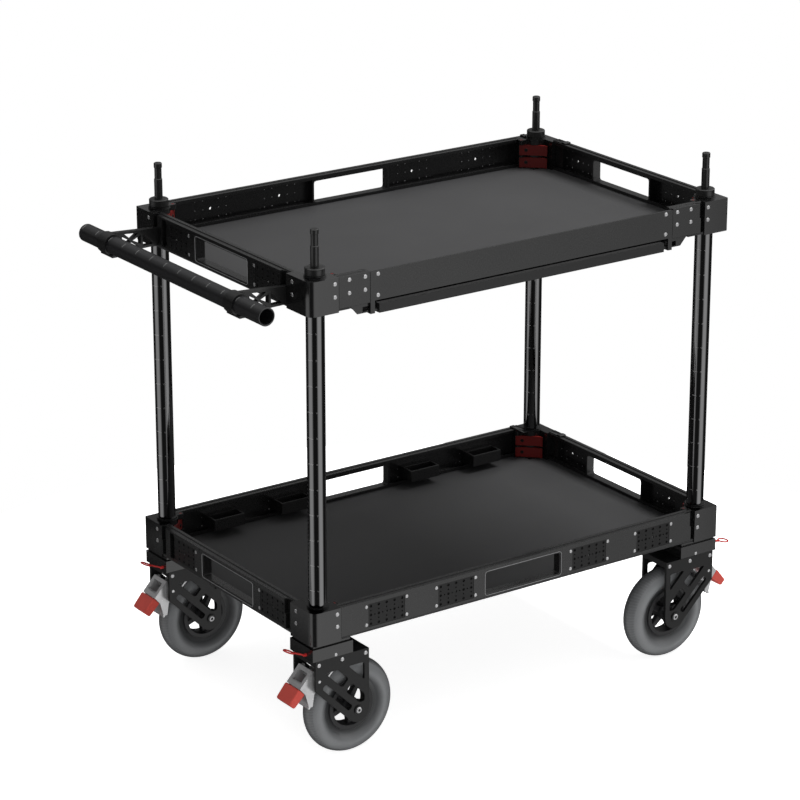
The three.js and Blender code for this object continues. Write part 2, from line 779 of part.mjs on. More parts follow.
function trussWeb(ringRadius) {
  const foot = handleReach + trussFootDepth;
  const footTop = handleDrop - trussFootTop;
  const footLow = handleDrop + trussFootLow - railHeight;
  const web = outline([[0, -ringRadius], [foot, footLow], [foot, footTop], [0, ringRadius]]);
  const waist = ringRadius + (handleReach - ringRadius) * (1 - trussWaistShare);
  const start = ringRadius + trussRib / 2;
  const edge = (x, sign) => {
    const target = sign > 0 ? footTop : footLow;
    return sign * ringRadius + (target - sign * ringRadius) * x / foot - sign * trussRib;
  };
  const middleX = (start + waist - trussRib) / 2;
  const end = waist - trussRib;
  const middleZ = (edge(middleX, 1) + edge(middleX, -1)) / 2;
  const rib = trussRib / 2;
  const holes = [
    [[start + 2 * rib, edge(start, 1)], [end - 2 * rib, edge(end, 1)], [middleX, middleZ + rib]],
    [[start + 2 * rib, edge(start, -1)], [middleX, middleZ - rib], [end - 2 * rib, edge(end, -1)]],
    [[start, edge(start, 1) - 2 * rib], [middleX - rib, middleZ], [start, edge(start, -1) + 2 * rib]],
    [[end, edge(end, 1) - 2 * rib], [end, edge(end, -1) + 2 * rib], [middleX + rib, middleZ]],
    [[waist, edge(waist, 1) - rib], [waist, edge(waist, -1)],
      [handleReach - 2 * trussRib, edge(handleReach, -1)]],
  ];
  const half = trussThickness / 2;
  const cuts = holes.map((points) => extrudeY(outline(points), -half - overrun, half + overrun));
  return cut(extrudeY(web, -half, half), ...cuts);
}

function handleBracket() {
  const ringRadius = tubeRadius + seatGap + clampRingWall;
  const half = clampRingWidth / 2;
  const ring = barY(ringRadius, 0, 0, -half, half);
  const ear = box(-clampEarWidth / 2, clampEarWidth / 2, -clampEarLength / 2, clampEarLength / 2,
    -ringRadius - clampEarHeight, -ringRadius + clampRingWall);
  const reach = clampEarLength / 2 + overrun;
  const bore = barY(tubeRadius + seatGap, 0, 0, -reach, reach);
  return cut(join(ring, ear, trussWeb(ringRadius)), bore);
}

// Points of the fork and brake: outward and upward from the axle, turned into the corner's frame
function forkPoint([outward, upward]) {
  return [axleInset - outward * forkArm, wheelRadius + upward * forkRise];
}

function forkOutline() {
  const inner = axleInset + forkBoss;
  const outer = axleInset - forkArm;
  const tangent = forkBoss * diagonalShare;
  const shape = new THREE.Shape();
  shape.moveTo(inner, forkTop);
  shape.lineTo(outer, forkTop);
  shape.lineTo(outer, wheelRadius - tangent + (forkArm - tangent));
  shape.lineTo(axleInset - tangent, wheelRadius - tangent);
  const arcSteps = cornerSteps * 3;
  for (let i = 1; i <= arcSteps; i += 1) {
    const turn = Math.PI * (1.25 + 0.75 * i / arcSteps);
    shape.lineTo(axleInset + forkBoss * Math.cos(turn), wheelRadius + forkBoss * Math.sin(turn));
  }
  const holes = [forkSlotShares, forkWindowShares, forkTopCornerShares, forkHubShares];
  holes.forEach((points) => {
    shape.holes.push(softOutline(points.map(forkPoint), forkCornerRadius, new THREE.Path()));
  });
  return shape;
}

// Fork: two trussed side plates, a top plate, the axle bolt and the kingpin
function forkSolid() {
  const far = casterOffset + forkHalfWidth;
  const near = casterOffset - forkHalfWidth;
  const plates = [[near, near + forkPlate], [far - forkPlate, far]].map(([y0, y1]) => {
    return extrudeY(forkOutline(), y0, y1, holeSteps);
  });
  const top = box(axleInset - forkArm, axleInset + forkBoss, near + forkPlate - weldDepth,
    far - forkPlate + weldDepth, forkTop - forkTopPlate, forkTop);
  const axle = barY(axleRadius, axleInset, wheelRadius, near + weldDepth, far - weldDepth);
  const spans = [[near - axleHeadHeight, near + weldDepth], [far - weldDepth, far + axleHeadHeight]];
  const heads = spans.map(([y0, y1]) => {
    return barY(axleHeadRadius, axleInset, wheelRadius, y0, y1, pinSides);
  });
  const kingpin = barZ(kingpinRadius, swivelInset, casterOffset, forkTop - weldDepth, forkTop + kingpinHeight);
  const [pivotX, pivotZ] = forkPoint(brakePivotShares);
  const pivotHole = barY(brakePinRadius + seatGap, pivotX, pivotZ, near - overrun, far + overrun, pinSides);
  return cut(join(...plates, top, axle, ...heads, kingpin), pivotHole);
}

// Tyre: a round section whose sidewalls run down to beads on the rim
function tyreSolid() {
  const centre = wheelRadius - tyreRadius;
  const arc = THREE.MathUtils.degToRad(tyreArcDegrees);
  const profile = [[tyreSeat, -tyreBeadHalf]];
  for (let i = 0; i <= tyreSteps; i += 1) {
    const turn = arc * (2 * i / tyreSteps - 1);
    profile.push([centre + tyreRadius * Math.cos(turn), tyreRadius * Math.sin(turn)]);
  }
  profile.push([tyreSeat, tyreBeadHalf]);
  return revolve(profile, wheelSides).rotateX(Math.PI / 2);
}

// Rim: a flanged band joined to a long hub by flat spokes
function rimSolid(turnShare) {
  const seat = tyreSeat - seatGap;
  const band = seat - rimWall;
  const half = rimHalfWidth;
  const flange = tyreSeat + rimFlangeRise;
  const inner = half - rimFlangeWidth;
  const profile = [[band, -half], [flange, -half], [flange, -inner], [seat, rimFlangeRise - inner],
    [seat, inner - rimFlangeRise], [flange, inner], [flange, half], [band, half]];
  const ring = revolve(profile, wheelSides).rotateX(Math.PI / 2);
  const hub = barY(hubRadius, 0, 0, -hubHalfLength, hubHalfLength, hubSides);
  const bore = barY(axleRadius + seatGap, 0, 0, -hubHalfLength - overrun, hubHalfLength + overrun);
  const spokes = [];
  for (let i = 0; i < spokeCount; i += 1) {
    const spoke = box(hubRadius - spokeRoot, band + weldDepth, -webHalfThickness, webHalfThickness,
      -spokeWidth / 2, spokeWidth / 2);
    spokes.push(spoke.rotateY(2 * Math.PI * (i + turnShare) / spokeCount));
  }
  return cut(join(ring, hub, ...spokes), bore);
}

// Flat plate between two points of the side view, thickened away from the axle
function slopingPlate(shares, thickness, halfWidth) {
  const [a, b] = shares.map(forkPoint).map(([x, z]) => new THREE.Vector2(x, z));
  const across = b.clone().sub(a).setLength(thickness);
  const normal = new THREE.Vector2(across.y, -across.x);
  const points = [a, b, b.clone().sub(normal), a.clone().sub(normal)].map((p) => [p.x, p.y]);
  return extrudeY(outline(points), casterOffset - halfWidth, casterOffset + halfWidth);
}

function shoeSolid() {
  const near = wheelRadius + shoeStandoff;
  const ring = (radius) => shoeAngles.map((degrees) => {
    const turn = THREE.MathUtils.degToRad(degrees);
    return [axleInset - radius * Math.cos(turn), wheelRadius + radius * Math.sin(turn)];
  });
  const points = [...ring(near), ...ring(near + shoeThickness).reverse()];
  return extrudeY(outline(points), casterOffset - brakeHalfWidth, casterOffset + brakeHalfWidth);
}

// Brake: two cheeks on a pin, a pierced top plate, a strap over the tyre and the shoe
function brakeSolid() {
  const cheek = outline(cheekShares.map(forkPoint));
  const near = casterOffset - brakeHalfWidth;
  const far = casterOffset + brakeHalfWidth;
  const walls = [[near, near + brakeCheek], [far - brakeCheek, far]];
  const cheeks = walls.map(([y0, y1]) => extrudeY(cheek, y0, y1));
  const top = slopingPlate(brakeTopShares, brakePlate, brakeHalfWidth);
  const strap = slopingPlate(brakeStrapShares, brakeStrap, brakeStrapHalfWidth);
  const strapRoot = slopingPlate(strapRootShares, brakePlate, brakeHalfWidth);
  const [pivotX, pivotZ] = forkPoint(brakePivotShares);
  const reach = forkHalfWidth - seatGap;
  const pin = barY(brakePinRadius, pivotX, pivotZ, casterOffset - reach, casterOffset + reach, pinSides);
  const [a, b] = brakeTopShares;
  const along = (share) => [a[0] + (b[0] - a[0]) * share, a[1] + (b[1] - a[1]) * share];
  const slotHalf = brakeHalfWidth - brakeCheek - brakeBar;
  const slot = slopingPlate(brakeWindowShares.map(along), brakePlate + overrun, slotHalf);
  return join(cut(join(...cheeks, top), slot), strap, strapRoot, shoeSolid(), pin);
}

function padSolid() {
  const points = padShares.map(forkPoint);
  return extrudeY(softOutline(points, padEdgeRadius), casterOffset - padHalfWidth, casterOffset + padHalfWidth);
}

// Lock pin with its strap and pull loop, which stands up on the left side and hangs on the right
function lockPinSolid(strapRise) {
  const height = mountBottom + lockPinRise;
  const face = -blockHalf;
  const pin = barX(lockPinRadius, 0, height, face - strapWidth, face + lockPinDepth, pinSides);
  const low = -strapWidth / 2;
  const high = strapWidth / 2;
  const start = face - strapWidth / 2;
  const end = start - strapLength;
  const half = strapThickness / 2;
  const strap = extrudeY(outline([[start, height - half], [start, height + half],
    [end, height + strapRise + half], [end, height + strapRise - half]].reverse()), low, high);
  const slope = Math.atan2(strapRise, strapLength);
  const loop = new THREE.TorusGeometry(loopRadius, loopThickness, wireSides, loopSides);
  loop.rotateY(slope);
  loop.translate(end - loopRadius * Math.cos(slope), 0, height + strapRise + loopRadius * Math.sin(slope));
  return join(pin, strap, loop);
}

// Assembly
const cart = new THREE.Group();
const frame = new THREE.Group();
cart.add(frame);

function addRail(name, geometry, side, bottom) {
  const mesh = piece(name, geometry, blackAluminium);
  const quarter = { front: 0, right: 1, back: 2, left: 3 }[side];
  mesh.rotation.z = quarter * Math.PI / 2;
  mesh.position.set([0, outerX, 0, -outerX][quarter], [-outerY, 0, outerY, 0][quarter], bottom);
  frame.add(mesh);
}

function addShelves() {
  const longGeometry = geometryOf(longRail());
  const sideGeometry = geometryOf(sideRail());
  const lowerBottom = lowerShelfTop - railHeight;
  addRail('lower_rail_front', longGeometry, 'front', lowerBottom);
  addRail('lower_rail_back', geometryOf(holderRail(longRail())), 'back', lowerBottom);
  addRail('upper_rail_back', longGeometry, 'back', railBottomUpper);
  for (const [level, bottom] of [['lower', lowerBottom], ['upper', railBottomUpper]]) {
    addRail(`${level}_rail_left`, sideGeometry, 'left', bottom);
    addRail(`${level}_rail_right`, sideGeometry, 'right', bottom);
  }
  const lowerDeck = piece('lower_deck', geometryOf(deckSolid()), deckCoat);
  lowerDeck.position.z = lowerBottom - seatGap;
  const low = -deckThickness - overrun;
  const bay = box(bayLeft, bayRight, -outerY - overrun, trayBayInset - outerY, low, overrun);
  const footSpan = bracketFoot + seatGap;
  const footDepth = bracketSetback + bracketDepth + seatGap;
  const feet = box(bayLeft - footSpan, bayRight + footSpan, -outerY - overrun, footDepth - outerY,
    low, overrun);
  const upperDeck = piece('upper_deck', geometryOf(cut(deckSolid(), bay, feet)), deckCoat);
  upperDeck.position.z = railBottomUpper - seatGap;
  frame.add(lowerDeck, upperDeck);
}

function addCorners() {
  const lowerLever = geometryOf(leverSolid(lowerShelfTop));
  const upperLever = geometryOf(leverSolid(upperShelfTop));
  const shapes = {
    fork: geometryOf(forkSolid()),
    tyre: geometryOf(tyreSolid()),
    brake: geometryOf(brakeSolid()),
    pad: geometryOf(padSolid()),
  };
  const rims = [leftSpokeTurnShare, rightSpokeTurnShare].map((share) => geometryOf(rimSolid(share)));
  const locks = [leftStrapRise, rightStrapRise].map((rise) => geometryOf(lockPinSolid(rise)));
  corners.forEach((corner) => {
    const group = cornerGroup(corner);
    const { tag } = corner;
    const side = corner.flipX > 0 ? 0 : 1;
    group.add(piece(`post_${tag}`, geometryOf(postSolid(corner)), glossBlack));
    group.add(piece(`upper_block_${tag}`, geometryOf(upperBlock(corner)), blackAluminium));
    group.add(piece(`lower_block_${tag}`, geometryOf(lowerBlock(corner)), blackAluminium));
    group.add(leverMesh(`upper_lever_${tag}`, upperLever));
    group.add(leverMesh(`lower_lever_${tag}`, lowerLever));
    group.add(piece(`fork_${tag}`, shapes.fork, blackAluminium));
    group.add(piece(`brake_${tag}`, shapes.brake, zincSteel));
    group.add(piece(`brake_pad_${tag}`, shapes.pad, redRubber));
    const lock = piece(`lock_pin_${tag}`, locks[side], redAnodised);
    lock.position.y = lockOffset(corner);
    group.add(lock);
    const rim = piece(`rim_${tag}`, rims[side], blackPlastic);
    const tyre = piece(`tyre_${tag}`, shapes.tyre, greyTyre);
    for (const part of [rim, tyre]) part.position.set(axleInset, casterOffset, wheelRadius);
    group.add(rim, tyre);
    frame.add(group);
  });
}

function addTrayAndHandle() {
  const front = new THREE.Group();
  front.position.set(0, -outerY, railBottomUpper);
  const slotStart = longRailEnd - receiverWidth;
  const slot = receiverSlot(slotStart, longRailEnd + overrun);
  const left = endPiece(longRailStart, bayLeft, bayLeft, 1);
  const rightBar = endPiece(bayRight, longRailEnd, bayRight, -1);
  const right = cut(join(rightBar, pocket(slotStart - railWall, longRailEnd)), slot);
  front.add(piece('upper_end_left', geometryOf(left), blackAluminium));
  front.add(piece('upper_end_right', geometryOf(right), blackAluminium));
  front.add(piece('tray', geometryOf(traySolid()), blackAluminium));
  front.add(piece('drop_front', geometryOf(dropFront()), blackAluminium));
  frame.add(front);
  const handle = new THREE.Group();
  handle.position.set(handleX, 0, handleZ);
  handle.add(piece('handle_tube', geometryOf(handleTube()), glossBlack));
  const bracket = geometryOf(handleBracket());
  for (const [side, y] of [['back', trussBack], ['front', trussFront]]) {
    const mesh = piece(`handle_bracket_${side}`, bracket, blackAluminium);
    mesh.position.y = y;
    handle.add(mesh);
  }
  frame.add(handle);
}

addShelves();
addCorners();
addTrayAndHandle();

// The origin is under the middle of the whole cart, on the floor
const extent = new THREE.Box3().setFromObject(cart);
const middle = extent.getCenter(new THREE.Vector3());
frame.position.set(-middle.x, -middle.y, 0);

export default cart;
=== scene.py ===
# %% [markdown]
# # A two-shelf camera cart
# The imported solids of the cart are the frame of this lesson. They give every place and size.
# We dress them with bevels and finishes, swap the round parts for smoother ones, and add what
# repeats, such as screws, hole plates and rack teeth, with Geometry Nodes.

# %% Load the frame
import math

import bmesh
import bpy
from mathutils import Matrix, Vector


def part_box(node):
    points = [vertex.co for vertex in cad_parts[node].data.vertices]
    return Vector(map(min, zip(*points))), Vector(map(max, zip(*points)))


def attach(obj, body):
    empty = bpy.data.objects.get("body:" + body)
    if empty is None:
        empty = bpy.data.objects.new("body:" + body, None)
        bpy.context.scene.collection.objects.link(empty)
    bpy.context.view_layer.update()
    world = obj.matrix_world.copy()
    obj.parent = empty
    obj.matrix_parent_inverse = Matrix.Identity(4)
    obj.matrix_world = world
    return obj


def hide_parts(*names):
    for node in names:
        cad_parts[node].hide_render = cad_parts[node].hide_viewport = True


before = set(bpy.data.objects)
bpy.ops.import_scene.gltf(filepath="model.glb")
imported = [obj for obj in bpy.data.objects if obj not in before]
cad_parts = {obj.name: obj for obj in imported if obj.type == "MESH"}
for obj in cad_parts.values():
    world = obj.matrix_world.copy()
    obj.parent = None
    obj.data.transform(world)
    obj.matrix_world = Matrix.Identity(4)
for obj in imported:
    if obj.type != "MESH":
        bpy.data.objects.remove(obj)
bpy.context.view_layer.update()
MM = 0.001
CORNERS = {"fl": (-1, -1), "fr": (1, -1), "bl": (-1, 1), "br": (1, 1)}
post_boxes = {tag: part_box(f"post_{tag}") for tag in CORNERS}
posts = {tag: (lo + hi) / 2 for tag, (lo, hi) in post_boxes.items()}
centre = (posts["fl"] + posts["br"]) / 2
print("posts stand at", {tag: tuple(round(c, 3) for c in p) for tag, p in posts.items()})

# %% [markdown]
# The camera stands where it stood for the photograph: high, to the left of the front, and far
# away with a long lens, so that the cart's edges run almost parallel. It is placed from the
# middle of the four posts, because they are what the place was worked out from.

# %% Camera
LENS_MM = 143.16
SENSOR_MM = 36.0
CAMERA_FROM_CENTRE = Vector((-3.4660, -4.8552, 2.6659))
CAMERA_DOWN_DEG = 19.51
CAMERA_TURN_DEG = -34.897


def linked(name, data):
    made = bpy.data.objects.new(name, data)
    bpy.context.scene.collection.objects.link(made)
    return made


camera_data = bpy.data.cameras.new("camera")
camera_data.lens = LENS_MM
camera_data.sensor_width = SENSOR_MM
camera = linked("camera", camera_data)
camera.location = Vector((centre.x, centre.y, 0)) + CAMERA_FROM_CENTRE
camera.rotation_euler = (math.radians(90 - CAMERA_DOWN_DEG), 0, math.radians(CAMERA_TURN_DEG))
bpy.context.scene.camera = camera
print("camera at", tuple(round(c, 3) for c in camera.location))

# %% [markdown]
# Shader maths reads best as plain expressions. A small class wraps a socket and overloads the
# operators, so that a mask can be written as a sum of other masks. One more method adds any
# other node from its type, its settings and its inputs.


# %% Shader expressions
class Wiring:
    """A node tree under construction, with a few shorthands."""

    def __init__(self, tree):
        self.tree = tree

    def node(self, kind, settings=(), **inputs):
        made = self.tree.nodes.new(kind)
        for key, value in dict(settings).items():
            setattr(made, key, value)
        for key, value in inputs.items():
            by_number = key.startswith("at")
            self.feed(made.inputs[int(key[2:]) if by_number else key.replace("_", " ")], value)
        return made

    def get(self, kind, settings=(), **inputs):
        """The first output of a new node."""
        return self.node(kind, settings, **inputs).outputs[0]

    def feed(self, socket, value):
        if isinstance(value, Value):
            self.tree.links.new(value.socket, socket)
        elif isinstance(value, bpy.types.NodeSocket):
            self.tree.links.new(value, socket)
        else:
            socket.default_value = value

    def split(self, vector):
        parts = self.node("ShaderNodeSeparateXYZ", Vector=vector).outputs
        return [Value(self, part) for part in parts]

    def vector(self, **parts):
        return self.get("ShaderNodeCombineXYZ", **parts)

    def place(self):
        """The point on the piece, whole and as three numbers."""
        point = self.node("ShaderNodeTexCoord").outputs["Object"]
        return point, self.split(point)

    def noise(self, point, scale, detail=2.0, stretch=(1, 1, 1)):
        mapped = self.get("ShaderNodeMapping", Vector=point, Scale=stretch)
        made = self.node("ShaderNodeTexNoise", Vector=mapped, Scale=scale, Detail=detail)
        return Value(self, made.outputs["Fac"])

    def mix(self, factor, first, second):
        made = self.node("ShaderNodeMix", {"data_type": "RGBA"}, at0=factor, at6=first, at7=second)
        return made.outputs[2]


class Finish(Wiring):
    """A material for one finish. Its constants go straight onto the shader's sockets."""

    def __init__(self, name, **constants):
        self.material = bpy.data.materials.new(name)
        self.material.use_nodes = True
        super().__init__(self.material.node_tree)
        self.shader = self.tree.nodes["Principled BSDF"]
        for label, value in constants.items():
            self.shader.inputs[label.replace("_", " ")].default_value = value

    def drive(self, label, value):
        self.feed(self.shader.inputs[label], value)

    def bump(self, height, strength, distance):
        made = self.node("ShaderNodeBump", Height=height, Strength=strength, Distance=distance)
        self.drive("Normal", made.outputs["Normal"])


def operation(kind, swap=False):
    """A method that adds one Math node."""
    return lambda value, *others: value.math(kind, *others, swap=swap)


class Value:
    """A number that varies over the surface. Sums of values become Math nodes."""

    def __init__(self, wiring, socket):
        self.wiring = wiring
        self.socket = socket

    def math(self, kind, *others, swap=False):
        terms = (self, *others)[::-1 if swap else 1]
        numbered = {f"at{i}": term for i, term in enumerate(terms)}
        made = self.wiring.get("ShaderNodeMath", {"operation": kind}, **numbered)
        return Value(self.wiring, made)

    __add__ = __radd__ = operation("ADD")
    __mul__ = __rmul__ = operation("MULTIPLY")
    __sub__, __rsub__ = operation("SUBTRACT"), operation("SUBTRACT", swap=True)
    __truediv__ = operation("DIVIDE")
    __lt__, __gt__ = operation("LESS_THAN"), operation("GREATER_THAN")
    __abs__, fract = operation("ABSOLUTE"), operation("FRACT")
    power, arctan2 = operation("POWER"), operation("ARCTAN2")
    least, most = operation("MINIMUM"), operation("MAXIMUM")

    def band(self, low, high):
        """Zero below low, one above high, and smooth between."""
        made = self.wiring.get("ShaderNodeMapRange", {"interpolation_type": "SMOOTHSTEP"},
                               Value=self, From_Min=low, From_Max=high)
        return Value(self.wiring, made)

    def strip(self, low, high, soft):
        """One between low and high, with soft ends."""
        return self.band(low - soft, low + soft) * (1 - self.band(high - soft, high + soft))


def distance(across, along):
    return (across * across + along * along).power(0.5)


def grey(tone, blue=1.0):
    """A neutral colour, bluer where the second number is over one."""
    return tone, tone, tone * blue, 1


# %% [markdown]
# Most of the cart is aluminium, blasted, then anodised black. The dye leaves almost no colour of
# its own: what one sees is the satin skin mirroring the studio, so the base is near black and the
# gloss does the rest. Fine grain breaks it up, and the tone drifts slowly. The tops of the lower
# corner blocks are blackened metal, which mirrors less at a low angle.


# %% Black anodised aluminium and the deck's coat
def anodised(name, tone, gloss, grain=0.10, sheen=0.5, speck=900.0, bare_top=False):
    """Dyed metal. The tone is its base, the gloss its roughness, the grain its bumps."""
    finish = Finish(name, Metallic=0.0, Specular_IOR_Level=sheen)
    point, _ = finish.place()
    fine = finish.noise(point, speck, 3)
    drift = finish.noise(point, 9.0, 2)
    dark, light = grey(tone * 0.80, 1.025), grey(tone * 1.18, 1.017)
    finish.drive("Base Color", finish.mix(drift * 0.6 + fine * 0.4, dark, light))
    finish.drive("Roughness", gloss + (fine - 0.5) * 0.16 + (drift - 0.5) * 0.08)
    finish.bump(fine, grain, 0.4 * MM)
    if bare_top:
        normal = finish.node("ShaderNodeTexCoord").outputs["Normal"]
        finish.drive("Metallic", finish.split(normal)[2] > 0.9)
    return finish.material


rail_black = anodised("rail_black", 0.006, 0.28, 0.08, 0.7)
block_black = anodised("block_black", 0.007, 0.17, 0.05, 0.75)
foot_black = anodised("foot_black", 0.007, 0.17, 0.05, 0.75, bare_top=True)
plate_black = anodised("plate_black", 0.006, 0.34, 0.08, 0.35)
fork_black = anodised("fork_black", 0.006, 0.40, 0.14, 0.4)
grip_black = anodised("grip_black", 0.006, 0.34)
tray_black = anodised("tray_black", 0.012, 0.44)
deck_coat = anodised("deck_coat", 0.038, 0.62, 0.22, 0.3, 1400.0)
# A pale grey for the wires round the windows: a painted highlight on the bevelled window frames.
trim_grey = anodised("trim_grey", 0.30, 0.40)
print("anodised finishes made")

# %% [markdown]
# The posts are drawn tube, polished before the dye, so they mirror the studio as dark metal does.
# The handle has a duller skin. Every fifty millimetres a fine pale line is cut across the left
# side, with a smaller mark behind it. The fraction of the height by the pitch gives the lines.

# %% Tubes with ring marks
RING_PITCH = 50.4 * MM
RING_HALF = 0.8 * MM
FIRST_MARK = 453.2 * MM
MARK_SPAN = (math.radians(-177), math.radians(-143))
NUMBER_SPAN = (math.radians(-124), math.radians(-114))
GRIP_SPAN = (math.radians(105), math.radians(140))
MARKED = (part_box("lower_block_fl")[1].z + 10 * MM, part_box("upper_block_fl")[0].z)
STUD_ABOVE = 40 * MM
TUBE_OUTER = 17.5 * MM
RACK_ANGLE = math.radians(160)
GROOVE_FLOOR = 15.1 * MM
GROOVE_TURN = math.radians(14)


def near_mark(along, first, half):
    """One where a place along the tube is near one of the marks."""
    steps = ((along - first) / RING_PITCH + 0.5).fract()
    return abs(steps - 0.5) < half / RING_PITCH


def post_finish(name, at):
    finish = Finish(name)
    point, (x, y, z) = finish.place()
    streaks = finish.noise(point, 60.0, 2, (1, 1, 0.03))
    across, back = x - at.x, y - at.y
    angle = back.arctan2(across)
    out = distance(across, back)
    on_post = (z > MARKED[0]) * (z < MARKED[1])
    ring = near_mark(z, FIRST_MARK, RING_HALF) * angle.strip(*MARK_SPAN, 0.05)
    number = near_mark(z, FIRST_MARK, 2 * RING_HALF) * angle.strip(*NUMBER_SPAN, 0.03)
    mark = (ring + number * 0.6) * on_post
    turn = abs(angle - RACK_ANGLE).least(abs(angle + (2 * math.pi - RACK_ANGLE)))
    in_groove = (out < TUBE_OUTER - 0.4 * MM) * (out > GROOVE_FLOOR - 0.2 * MM)
    floor = (turn < GROOVE_TURN) * in_groove * on_post
    stud = z > MARKED[1] + STUD_ABOVE
    base = finish.mix(streaks, grey(0.1615, 1.012), grey(0.19, 1.01))
    for mask, tone in ((stud, 0.012), (floor, 0.55), (mark, 0.42)):
        base = finish.mix(mask, base, grey(tone))
    finish.drive("Base Color", base)
    finish.drive("Metallic", 1 - stud)
    finish.drive("Roughness", 0.06 + streaks * 0.06 + mark * 0.4 + floor * 0.4 + stud * 0.22)
    finish.bump(streaks, 0.03, 0.1 * MM)
    return finish.material


def grip_finish(name, at, first_mark):
    finish = Finish(name, Metallic=0.0, Specular_IOR_Level=0.6)
    point, (x, y, z) = finish.place()
    streaks = finish.noise(point, 60.0, 2, (1, 0.03, 1))
    angle = (z - at.z).arctan2(x - at.x)
    mark = near_mark(y, first_mark, RING_HALF) * angle.strip(*GRIP_SPAN, 0.05)
    base = finish.mix(streaks, grey(0.008, 1.125), grey(0.012, 1.083))
    finish.drive("Base Color", finish.mix(mark, base, grey(0.22)))
    finish.drive("Roughness", 0.30 + streaks * 0.08 + mark * 0.2)
    finish.bump(streaks, 0.04, 0.2 * MM)
    return finish.material


post_blacks = {tag: post_finish(f"post_black_{tag}", at) for tag, at in posts.items()}
tube_low, tube_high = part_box("handle_tube")
tube_middle = (tube_low + tube_high) / 2
tube_black = grip_finish("tube_black", tube_middle, centre.y + 12 * MM)
print("tube finishes made, rings every", round(RING_PITCH / MM, 1), "mm")

# %% [markdown]
# Red anodising covers the clamp levers and the lock straps. It is a dye in the same porous skin,
# so it is made like the black one. The brake pads are moulded rubber instead: softer light, fine
# pits. Screws and brake frames are zinc, brushed along one way. Two darker copies of the screw
# steel are painted shade: a little darker for screws that face left, and much darker for the screw
# ends inside the rails.


# %% Red, rubber, zinc and the rest
def tinted(name, colour, rough, speck, pits):
    finish = Finish(name, Metallic=0.0)
    point, _ = finish.place()
    fine = finish.noise(point, speck, 3)
    drift = finish.noise(point, 35.0, 2)
    dark = tuple(c * 0.82 for c in colour) + (1,)
    light = tuple(min(c * 1.15, 1) for c in colour) + (1,)
    finish.drive("Base Color", finish.mix(drift * 0.5 + fine * 0.5, dark, light))
    finish.drive("Roughness", rough + (fine - 0.5) * 0.18)
    finish.bump(fine, pits, 0.3 * MM)
    return finish.material


def zinc(name, tone, rough, metal=1.0):
    finish = Finish(name, Metallic=metal)
    point, _ = finish.place()
    brushed = finish.noise(point, 220.0, 3, (1, 0.12, 1))
    cloud = finish.noise(point, 60.0, 2)
    finish.drive("Base Color", finish.mix(cloud, grey(tone * 0.70, 1.014), grey(tone, 1.01)))
    finish.drive("Roughness", rough + (brushed - 0.5) * 0.16)
    finish.bump(brushed, 0.06, 0.2 * MM)
    return finish.material


lever_red = tinted("lever_red", (0.105, 0.006, 0.005), 0.42, 700.0, 0.10)
strap_red = tinted("strap_red", (0.50, 0.020, 0.018), 0.45, 500.0, 0.10)
pad_red = tinted("pad_red", (0.62, 0.075, 0.055), 0.60, 380.0, 0.35)
rim_black = tinted("rim_black", (0.016, 0.016, 0.017), 0.48, 600.0, 0.12)
# Near-black matt finish: painted shade inside the holes of the plates. The lever bolts use it too.
void_black = tinted("void_black", (0.004, 0.004, 0.004), 0.8, 300.0, 0.05)
bright_zinc = zinc("bright_zinc", 0.66, 0.24, 0.55)
screw_steel = zinc("screw_steel", 0.72, 0.36, 0.8)
# Painted shade: darker copies of the screw steel, for the screw ends inside the rails and for
# screws that face left.
shade_steel = zinc("shade_steel", 0.12, 0.40)
side_steel = zinc("side_steel", 0.60, 0.40)
print("red, zinc, rubber and void finishes made")

# %% [markdown]
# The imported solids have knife-sharp edges. Real parts are broken at every edge, and that thin
# round catches the light. Modifiers do it without touching the solid itself: weld the loose
# triangles, join the coplanar ones, bevel what is left, and weigh the normals by area.


# %% Dress the solids
def modify(piece, name, kind, **settings):
    step = piece.modifiers.new(name, kind)
    for key, value in settings.items():
        setattr(step, key, value)
    return step


def dress(node, material, width, segments=2):
    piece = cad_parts[node]
    piece.data.materials.clear()
    piece.data.materials.append(material)
    for polygon in piece.data.polygons:
        polygon.use_smooth = True
    modify(piece, "weld", "WELD", merge_threshold=0.01 * MM)
    modify(piece, "flat", "DECIMATE", decimate_type="DISSOLVE", angle_limit=math.radians(0.5))
    modify(piece, "edge", "BEVEL", width=width * MM, segments=segments, limit_method="ANGLE",
           angle_limit=math.radians(40), use_clamp_overlap=True)
    modify(piece, "shade", "WEIGHTED_NORMAL", keep_sharp=True)


# A word of the node's name, with the finish, the bevel in millimetres and its segments.
DRESS = {
    "deck": (deck_coat, 0.5), "rail": (rail_black, 0.7), "end": (rail_black, 0.6),
    "block": (block_black, 0.8), "lever": (lever_red, 0.5), "bracket": (grip_black, 0.5),
    "tray": (tray_black, 0.5), "drop": (rail_black, 0.5), "fork": (fork_black, 0.7),
    "pad": (pad_red, 2.6, 4), "brake": (bright_zinc, 0.4), "lock": (strap_red, 0.3),
}
dressed = 0
for name in sorted(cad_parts):
    words = name.split("_")
    key = next((word for word in ("pad", "lock", "brake", *DRESS) if word in words), None)
    if key:
        dress(name, *DRESS[key])
        dressed += 1
for tag in CORNERS:
    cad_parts[f"lower_block_{tag}"].data.materials[0] = foot_black
print(dressed, "solids dressed")


# %% [markdown]
# Round parts are turned on a lathe in the workshop, and here too: a closed profile of radius and
# length is swept round an axis. Many narrow faces with smooth shading replace the few flats of
# the solids.


# %% Turned pieces
def new_piece(name, mesh, material, body, stands_for=()):
    piece = linked(name, mesh)
    if material:
        mesh.materials.clear()
        mesh.materials.append(material)
    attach(piece, body)
    if stands_for:
        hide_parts(*stands_for)


def mesh_from(made, name):
    mesh = bpy.data.meshes.new(name)
    made.to_mesh(mesh)
    made.free()
    return mesh


def soften(made, degrees):
    """Smooth faces, with sharp edges where the surface turns by more than the angle."""
    limit = math.radians(degrees)
    for face in made.faces:
        face.smooth = True
    for edge in made.edges:
        edge.smooth = len(edge.link_faces) == 2 and edge.calc_face_angle(0) < limit


